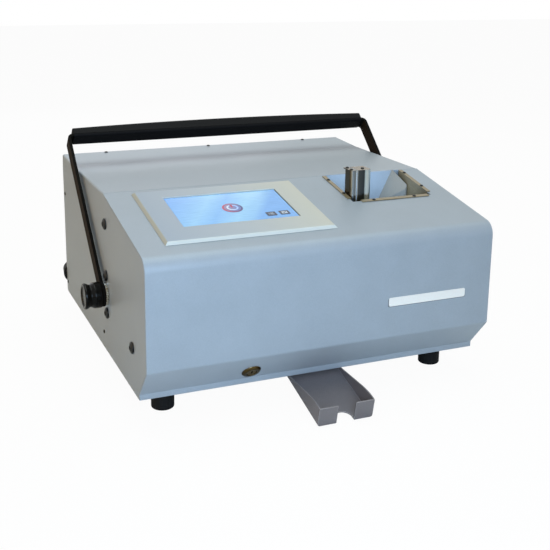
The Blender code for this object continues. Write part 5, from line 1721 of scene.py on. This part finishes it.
@dataclass
class CarryingHandle:
    """The bent strap with its sleeve, the serrated collars and the clamp knobs."""

    setback: float = 0.187
    height: float = 0.0835
    length: float = 0.256
    strap: float = 0.0042
    strap_edge: float = 0.0007
    standoff: float = 0.0042
    rest_rise: float = 0.1709
    grip_reach: float = 0.2322
    grip_half: float = 0.01175
    grip_height: float = 0.0156
    grip_crown: float = 0.0042
    grip_edge: float = 0.0042
    crown_steps: int = 12
    room_half: float = 0.0103
    gap: float = 0.0003
    seam_half: float = 0.0004
    longer: float = 0.0028
    wall: float = 0.0016
    eye_radius: float = 0.016
    bore_radius: float = 0.0053
    bore_depth: float = 0.013
    knob_radius: float = 0.017
    waist: float = 0.0148
    knob_length: float = 0.0228
    hollow: Flat = (0.38, 0.88)
    hollow_steps: int = 16

    @property
    def rise(self) -> float:
        """The sine of the handle's lean at rest."""
        return self.rest_rise / (self.length - self.strap / 2)

    @property
    def outward(self) -> Vector:
        """The way from the pivots to the grip at rest."""
        return Vector((0, math.sqrt(1 - self.rise * self.rise), self.rise))

    def build(self) -> None:
        """Builds strap, sleeve, collars and knobs."""
        self.build_strap()
        self.build_grip()
        for (side, word), body in zip(SIDES.items(), (Body.KNOB_LEFT, Body.KNOB_RIGHT)):
            dressed(f"pivot_stud_{word}", 0.00025, CHROME, Body.CHASSIS, "chrome", 25)
            self.build_knob(side, f"clamp_knob_{word}", body)

    def build_strap(self) -> None:
        """The bent bar, made a little longer, with round eyes and their bores at its ends."""
        strap = refined("handle_strap", self.strap_edge, 3)
        y, z = SHAPE.at(self.setback, self.height)
        with editing(strap, "VERT", lambda vert: vert.co.z - z > self.rest_rise / 2):
            bpy.ops.transform.translate(value=self.outward * self.longer)
        for side in SIDES:
            near = side * (SHAPE.half_width + self.standoff)
            ends = (near, y, z), (near + side * self.strap, y, z)
            beyond = (near - side * PIERCE, y, z), (near + side * (self.strap + PIERCE), y, z)
            weld_on(strap, round_edges(rod("eye", self.eye_radius, *ends, 64), self.strap_edge))
            carve(strap, rod("bore", self.bore_radius, *beyond))
        hand_over(strap, BAR_ENAMEL, Body.HANDLE, ["handle_strap"])

    def build_grip(self) -> None:
        """A sleeve with round edges and a fine seam along each side, slid over the strap's bar."""
        y, z = SHAPE.at(self.setback, self.height)
        turn = Matrix.Rotation(math.asin(self.rise) - RIGHT_ANGLE, 4, "X")
        place = Matrix.Translation(Vector((0, y, z)) + self.outward * self.longer) @ turn
        reach, half = self.grip_reach, self.grip_half
        inner, outer = self.length - self.strap, self.length
        low = inner - self.wall
        top = low + self.grip_height
        outline = [(-reach, -half, low), (reach, -half, low)]
        for step in range(self.crown_steps * 2 + 1):
            share = 1 - step / self.crown_steps
            outline.append((reach * share, -half, top + self.grip_crown * (1 - share**2)))
        sleeve = pushed_plate("handle_grip_fine", outline, (0, half * 2, 0))

        def lengthwise(edge: Edge) -> bool:
            """Whether an edge runs along the sleeve at a corner of its section."""
            return span(edge).x > MILLIMETRE and span(edge).y < MERGE

        round_chosen(sleeve, self.grip_edge, 5, lengthwise)
        round_edges(sleeve, 0.0012, 3, 60)
        past, fine, level = reach + PIERCE, self.seam_half, self.length - self.strap / 2
        room = (-past, -self.room_half, inner - self.gap), (past, self.room_half, outer + self.gap)
        carve(sleeve, block("strap_room", *room))
        for side in SIDES:
            y = side * half
            low, high = (-past, y - fine, level - fine), (past, y + fine, level + fine)
            carve(sleeve, block("seam", low, high))
        hand_over(
            move_to(sleeve, place), GRIP_SLEEVE, Body.HANDLE, ["handle_grip"]
        )

    def build_knob(self, side: int, node: str, body: Body) -> None:
        """A turned knob: a round grip, a waist in a smooth hollow, and a dished flange.

        Args:
            side: -1 for left or 1 for right.
            node: the CAD node that it stands for.
            body: the body that it rides on.
        """
        long, radius, bore = self.knob_length, self.knob_radius, self.bore_radius
        near, far = self.hollow
        hollow = []
        for step in range(self.hollow_steps + 1):
            share = step / self.hollow_steps
            dip = (radius - self.waist) * math.sin(math.pi * share) ** 2
            hollow.append((radius - dip, long * (near + (far - near) * share)))
        profile = [
            (bore, 0), (radius - 0.0014, 0), (radius - 0.0004, 0.0004), (radius, 0.0014),
            *hollow,
            (radius, long - 0.0012), (radius - 0.0004, long - 0.0004), (radius - 0.0012, long),
            (0.0136, long), (0.0130, long - 0.0004), (0.0122, long - 0.0013),
            (0.0060, long - 0.0015), (0, long - 0.0015),
        ]
        inside = [(bore, 0.0), (bore, self.bore_depth), (0, self.bore_depth)]
        halves = [turned_piece("outside", profile, 64), turned_piece("inside", inside, 64)]
        knob = group(f"{node}_fine", halves)
        with editing(knob):
            bpy.ops.mesh.remove_doubles(threshold=MERGE * 5)
            bpy.ops.mesh.normals_make_consistent(inside=False)
        out = self.standoff + self.strap + self.gap
        move_to(knob, SHAPE.on_side(side, self.setback, self.height, out))
        hand_over(knob, KNOB_RESIN, body, [node])


@dataclass
class Feet:
    """Four rubber feet and two bumpers of the same kind."""

    radius: float = 0.0145
    high: float = 0.0317
    end_radius: float = 0.0022
    side_inset: float = 0.040
    end_inset: float = 0.074
    bumper_radius: float = 0.0163
    bumper_tip: float = 0.0124
    bumper_dome: float = 0.0055
    bumper_length: float = 0.0295
    bumper_inset: float = 0.0112
    bumper_height: float = 0.0275
    gap: float = 0.0003

    def build(self) -> None:
        """Turns each foot and bumper with its round end and moulded ring."""
        half = SHAPE.half_width - self.side_inset
        front = SHAPE.front + self.end_inset
        rear = SHAPE.front + SHAPE.depth - self.end_inset
        for end, y in (("front", front), ("rear", rear)):
            for side, word in SIDES.items():
                node = f"foot_{end}_{word}"
                place = Matrix.Translation((side * half, y, 0))
                self.place(node, self.foot_profile(), place)
        for side, word in SIDES.items():
            y, z = SHAPE.at(SHAPE.depth + self.gap + self.bumper_length, self.bumper_height)
            place = Matrix.Translation((side * (SHAPE.half_width - self.bumper_inset), y, z))
            turn = Matrix.Rotation(RIGHT_ANGLE, 4, "X")
            self.place(f"bumper_{word}", self.bumper_profile(), place @ turn)

    def place(self, node: str, profile: Sequence[Flat], matrix: Matrix) -> None:
        """Turns one rubber piece and sets it in a frame."""
        piece = move_to(turned_piece(f"{node}_fine", profile, 48), matrix)
        hand_over(piece, FOOT_RUBBER, Body.CHASSIS, [node])

    def bumper_profile(self) -> list[Flat]:
        """A tapered bumper standing on its domed end.

        Returns:
            Radius and height of each corner.
        """
        tip, wide, long, dome = (
            self.bumper_tip, self.bumper_radius, self.bumper_length, self.bumper_dome
        )
        turns = [RIGHT_ANGLE * step / 8 for step in range(9)]
        return [
            (0, 0),
            *((tip * 0.45 + tip * 0.55 * math.sin(a), dome - dome * math.cos(a)) for a in turns),
            (wide - 0.0004, long - 0.001), (wide - 0.0009, long), (0, long),
        ]

    def foot_profile(self) -> list[Flat]:
        """A foot standing on its round end.

        Returns:
            Radius and height of each corner.
        """
        radius, high, end = self.radius, self.high, self.end_radius
        turns = [RIGHT_ANGLE * step / 6 for step in range(7)]
        return [
            (0, 0.0006), (0.0045, 0.0006), (0.0052, 0),
            *((radius - end + end * math.sin(a), end - end * math.cos(a)) for a in turns),
            (radius, high * 0.55), (radius - 0.0004, high * 0.57), (radius - 0.0004, high * 0.6),
            (radius, high * 0.62), (radius, high - 0.0006), (radius - 0.0006, high), (0, high),
        ]


@dataclass
class OutputTray:
    """The folded tray under the lip, and the chute that it runs into."""

    left: float = -0.038
    right: float = 0.036
    sheet: float = 0.0018
    edge: float = 0.0004
    fold_radius: float = 0.003
    reach: float = 0.0552
    foot: float = 0.020
    floor: float = 0.0015
    front_top: float = 0.0263
    level: float = 0.0312
    crest: float = 0.036
    crest_steps: int = 12
    end: float = 0.046
    above: float = 0.03
    room_length: float = 0.115
    notch: float = 0.0118
    notch_depth: float = 0.0047
    slope: float = math.radians(15)

    def on_floor(self, along: float, above: float) -> Flat:
        """Y and Z of a place along the sloping floor and square above it.

        Args:
            along: distance up the floor from its front.
            above: distance square off the floor.

        Returns:
            Y and Z.
        """
        cosine, sine = math.cos(self.slope), math.sin(self.slope)
        start = SHAPE.front - self.reach + self.foot * sine
        return start + along * cosine - above * sine, self.floor + along * sine + above * cosine

    def top_line(self) -> list[Flat]:
        """The side wall's upper line, rising in a curve from the front to the level part.

        Returns:
            The line's points.
        """
        front = SHAPE.front - self.reach
        handles = (
            (front, self.front_top), (front + self.crest / 3, self.level),
            (front + self.crest, self.level),
        )
        line = []
        for step in range(self.crest_steps + 1):
            share = step / self.crest_steps
            weights = (1 - share) ** 2, share * (1 - share) * 2, share**2
            line.append(tuple(sum(w * p[k] for w, p in zip(weights, handles)) for k in (0, 1)))
        return line

    def build(self) -> None:
        """Folds the tray, cuts its finger notch, and joins it to the chute behind."""
        rear, sheet = SHAPE.front + self.end, self.sheet
        top, low = (SHAPE.front - self.reach, self.front_top), self.on_floor(0, 0)
        rear_low = self.floor + (rear - low[0]) * math.tan(self.slope)
        outline = [low, *self.top_line(), (rear, self.level), (rear, rear_low)]
        tray = folded("output_tray_fine", outline, self.left, self.right)

        def lower_side(edge: Edge) -> bool:
            """Whether an edge is where the floor meets a side wall.

            Args:
                edge: the edge.

            Returns:
                True for such an edge.
            """
            reach = span(edge)
            rise = reach.z / max(reach.y, MERGE)
            return reach.x < MERGE and reach.y > 0.05 and 0.2 < rise < 0.3

        round_chosen(tray, self.fold_radius, 4, lower_side)
        lean = (top[0] - low[0]) / (top[1] - low[1])
        beyond = top[1] + self.above
        hollow = [
            self.on_floor(sheet, sheet), (top[0] + sheet + lean * self.above, beyond),
            (rear + 0.01, beyond), self.on_floor(self.room_length, sheet),
        ]
        room = folded("tray_room", hollow, self.left + sheet, self.right - sheet)
        round_edges(carve(tray, room, *self.notch_tools()), self.edge)
        outer = block("outer_part", (-0.1, -0.4, -0.1), (0.1, rear - MILLIMETRE, 0.2))
        weld_on(tray, carve(refined("output_tray", self.edge), outer))
        hand_over(tray, TRAY_COAT, Body.CHASSIS, ["output_tray"])

    def notch_tools(self) -> list[Piece]:
        """The solids that cut the finger notch, square to the floor.

        Returns:
            The solids.
        """
        centre, radius = (self.left + self.right) / 2, self.notch
        low, high = self.on_floor(self.notch_depth, -0.01), self.on_floor(self.notch_depth, 0.05)
        before = self.on_floor(-0.02, -0.01)
        corners = [
            (centre - radius, *before), (centre + radius, *before),
            (centre + radius, *low), (centre - radius, *low),
        ]
        mouth = pushed_plate("notch_mouth", corners, (0, high[0] - low[0], high[1] - low[1]))
        return [rod("notch", radius, (centre, *low), (centre, *high)), mouth]


@dataclass
class Works:
    """The embossing unit, the feed and the electrics inside."""

    inner: tuple[tuple[str, float, Finish, Body, str], ...] = (
        ("press_frame", 0.0015, CAST_IRON, Body.CHASSIS, "cast_iron"),
        ("wheel_bearing", 0.0008, CAST_IRON, Body.CHASSIS, "cast_iron"),
        ("press_motor", 0.0006, MOTOR_ENAMEL, Body.CHASSIS, "motor_paint"),
        ("wheel_motor", 0.0006, MOTOR_ENAMEL, Body.CHASSIS, "motor_paint"),
        ("feed_motor", 0.0006, MOTOR_ENAMEL, Body.CHASSIS, "motor_paint"),
        ("guide_rod", 0.0004, GROUND_STEEL, Body.CHASSIS, "ground_steel"),
        ("lead_screw", 0.0004, GROUND_STEEL, Body.SCREW, "ground_steel"),
        ("feed_carriage", 0.0006, MILLED_ALUMINIUM, Body.CARRIAGE, "aluminium"),
        ("punch_wheel", 0.0005, GROUND_STEEL, Body.WHEELS, "ground_steel"),
        ("die_wheel", 0.0005, TURNED_BRASS, Body.WHEELS, "brass"),
        ("motor_pulley", 0.0003, MILLED_ALUMINIUM, Body.PULLEY, "aluminium"),
        ("drive_belt", 0.0003, BELT_NITRILE, Body.CHASSIS, "black_rubber"),
        ("press_cam", 0.0004, GROUND_STEEL, Body.CAM, "ground_steel"),
        ("press_ram", 0.0004, GROUND_STEEL, Body.RAM, "ground_steel"),
        ("power_supply", 0.0008, MILLED_ALUMINIUM, Body.CHASSIS, "aluminium"),
        ("control_board", 0.0003, SOLDER_MASK, Body.CHASSIS, "circuit_board"),
        ("power_inlet", 0.0005, BLACK_ABS, Body.CHASSIS, "black_plastic"),
        ("rocker_switch", 0.0003, BLACK_ABS, Body.ROCKER, "black_plastic"),
    )

    def build(self) -> None:
        """Refines each inner solid and gives it its finish."""
        for entry in self.inner:
            dressed(*entry)


@dataclass
class Studio:
    """A white room with a pale floor, soft lamps, and the camera at the picture's angle."""

    lens_px: float = 966.1
    image_px: float = 550.0
    centre_px: float = 200.0
    pitch: float = 13.88
    heading: float = 23.21
    roll: float = 0.78
    place: Spot = (-0.5035, -1.2147, 0.5401)
    level: float = 0.12
    floor_size: float = 14.0
    floor_low: float = -0.0006
    floor_white: float = 0.96
    middle: Spot = (0.0, 0.0, 0.1)
    pale: Spot = (0.89, 1.0, 0.953)
    window: Spot = (0.5, 0.73, 1.0)

    def build(self) -> None:
        """Builds the camera, the floor, the room's light and the lamps."""
        self.build_camera()
        self.build_floor()
        self.build_world()
        middle, pale, window = self.middle, self.pale, self.window
        self.add_lamp("front_panel", (0.3, -2.0, 0.9), middle, 1.2, 1.5, pale)
        self.add_lamp("window_panel", (-0.28, -1.05, 0.45), (-0.1, 0, 0.1), 0.45, 6.1, window)
        self.add_lamp("top_panel", (0.1, 0.1, 2.3), middle, 2.0, 28.0, pale)
        self.add_lamp("left_panel", (-1.9, 0.1, 0.5), middle, 1.0, 5.9, (1.0, 0.58, 0.1))
        self.add_lamp("right_panel", (2.0, 0.3, 0.9), middle, 1.2, 3.2, pale)
        self.add_lamp(
            "opening_light", (0.14, -0.096, 0.243), (0.14, 0.1, 0.212), 0.05, 0.06, window
        )
        self.add_lamp("rear_panel", (0.2, 2.1, 0.9), middle, 1.4, 4.5, (0.85, 0.87, 1.0))

    def build_camera(self) -> None:
        """Sets the camera from its pitch, heading, roll and focal length in pixels."""
        pitch, heading, roll = map(math.radians, (self.pitch, self.heading, self.roll))
        ahead = Vector(
            (
                math.sin(heading) * math.cos(pitch),
                math.cos(heading) * math.cos(pitch),
                -math.sin(pitch),
            )
        )
        right = Vector((math.cos(heading), -math.sin(heading), 0))
        above = right.cross(ahead)
        right, above = (
            right * math.cos(roll) + above * math.sin(roll),
            above * math.cos(roll) - right * math.sin(roll),
        )
        data = bpy.data.cameras.new("picture_camera")
        camera = bpy.data.objects.new("picture_camera", data)
        bpy.context.scene.collection.objects.link(camera)
        turn = Matrix((right, above, -ahead)).transposed().to_4x4()
        camera.matrix_world = Matrix.Translation(self.place) @ turn
        data.lens = self.lens_px / self.image_px * data.sensor_width
        data.shift_y = (self.centre_px - self.image_px / 2) / self.image_px
        bpy.context.scene.camera = camera

    def build_floor(self) -> None:
        """A plain pale floor that keeps a soft shadow."""
        clear_selection()
        place = (0, 0, self.floor_low)
        bpy.ops.mesh.primitive_plane_add(size=self.floor_size, location=place)
        floor = settle(newest("floor"))
        made, tree, shader = new_material("matt_white_floor")
        feed(tree, shader, {"Base Color": linear("#F5F3F0"), "Roughness": 0.9})
        rays = add_node(tree, "ShaderNodeLightPath").outputs
        share = maths(tree, "MULTIPLY", rays["Is Camera Ray"], self.floor_white)
        lit = self.light(tree, "ShaderNodeEmission", 1.0)
        links = {0: share, 1: shader.outputs["BSDF"], 2: lit}
        mixed = add_node(tree, "ShaderNodeMixShader", links=links)
        feed(tree, tree.nodes["Material Output"], links={"Surface": mixed.outputs["Shader"]})
        floor.data.materials.append(made)

    def light(self, tree: Tree, kind: str, strength: float) -> Socket:
        """A white light of a node kind."""
        values = {"Color": WHITE, "Strength": strength}
        return add_node(tree, kind, values=values).outputs[0]

    def build_world(self) -> None:
        """A plain light all round, which is white where it is seen or mirrored."""
        world = bpy.data.worlds.new("white_room")
        bpy.context.scene.world = world
        world.use_nodes = True
        tree = world.node_tree
        tree.nodes.clear()
        rays = add_node(tree, "ShaderNodeLightPath").outputs
        seen = rays["Is Camera Ray"]
        for kind in ("Is Glossy Ray", "Is Transmission Ray"):
            seen = maths(tree, "MAXIMUM", seen, rays[kind])
        dim, white = (self.light(tree, "ShaderNodeBackground", k) for k in (self.level, 1.0))
        mixed = add_node(tree, "ShaderNodeMixShader", links={0: seen, 1: dim, 2: white})
        add_node(tree, "ShaderNodeOutputWorld", links={"Surface": mixed.outputs["Shader"]})

    def add_lamp(
        self, name: str, place: Spot, target: Spot, size: float, power: float, tint: Spot
    ) -> None:
        """Adds a square soft lamp.

        Args:
            name: the lamp's name.
            place: where it stands.
            target: where it points.
            size: its side in metres.
            power: its power in watts.
            tint: its colour in linear light.
        """
        data = bpy.data.lights.new(name, "AREA")
        data.shape = "SQUARE"
        data.size = size
        data.energy = power
        data.color = tint
        lamp = bpy.data.objects.new(name, data)
        bpy.context.scene.collection.objects.link(lamp)
        lamp.location = place
        lamp.rotation_mode = "QUATERNION"
        lamp.rotation_quaternion = (Vector(target) - Vector(place)).to_track_quat("-Z", "Y")
        lamp.visible_camera = False


def main() -> None:
    """Builds every sub-assembly in order and reports each piece."""
    logging.basicConfig(level=logging.INFO, format="%(name)s: %(message)s", stream=sys.stdout)
    bpy.context.scene.view_settings.view_transform = "Standard"
    Studio().build()
    fasteners = Fasteners()
    fasteners.build()
    Housing().build()
    FrontLid().build()
    Screen().build()
    LoadingOpening().build(fasteners)
    TagMagazine().build(fasteners)
    CamLock().build()
    CarryingHandle().build()
    Feet().build()
    OutputTray().build()
    Works().build()
    fasteners.clear_patterns()


if __name__ == "__main__":
    main()
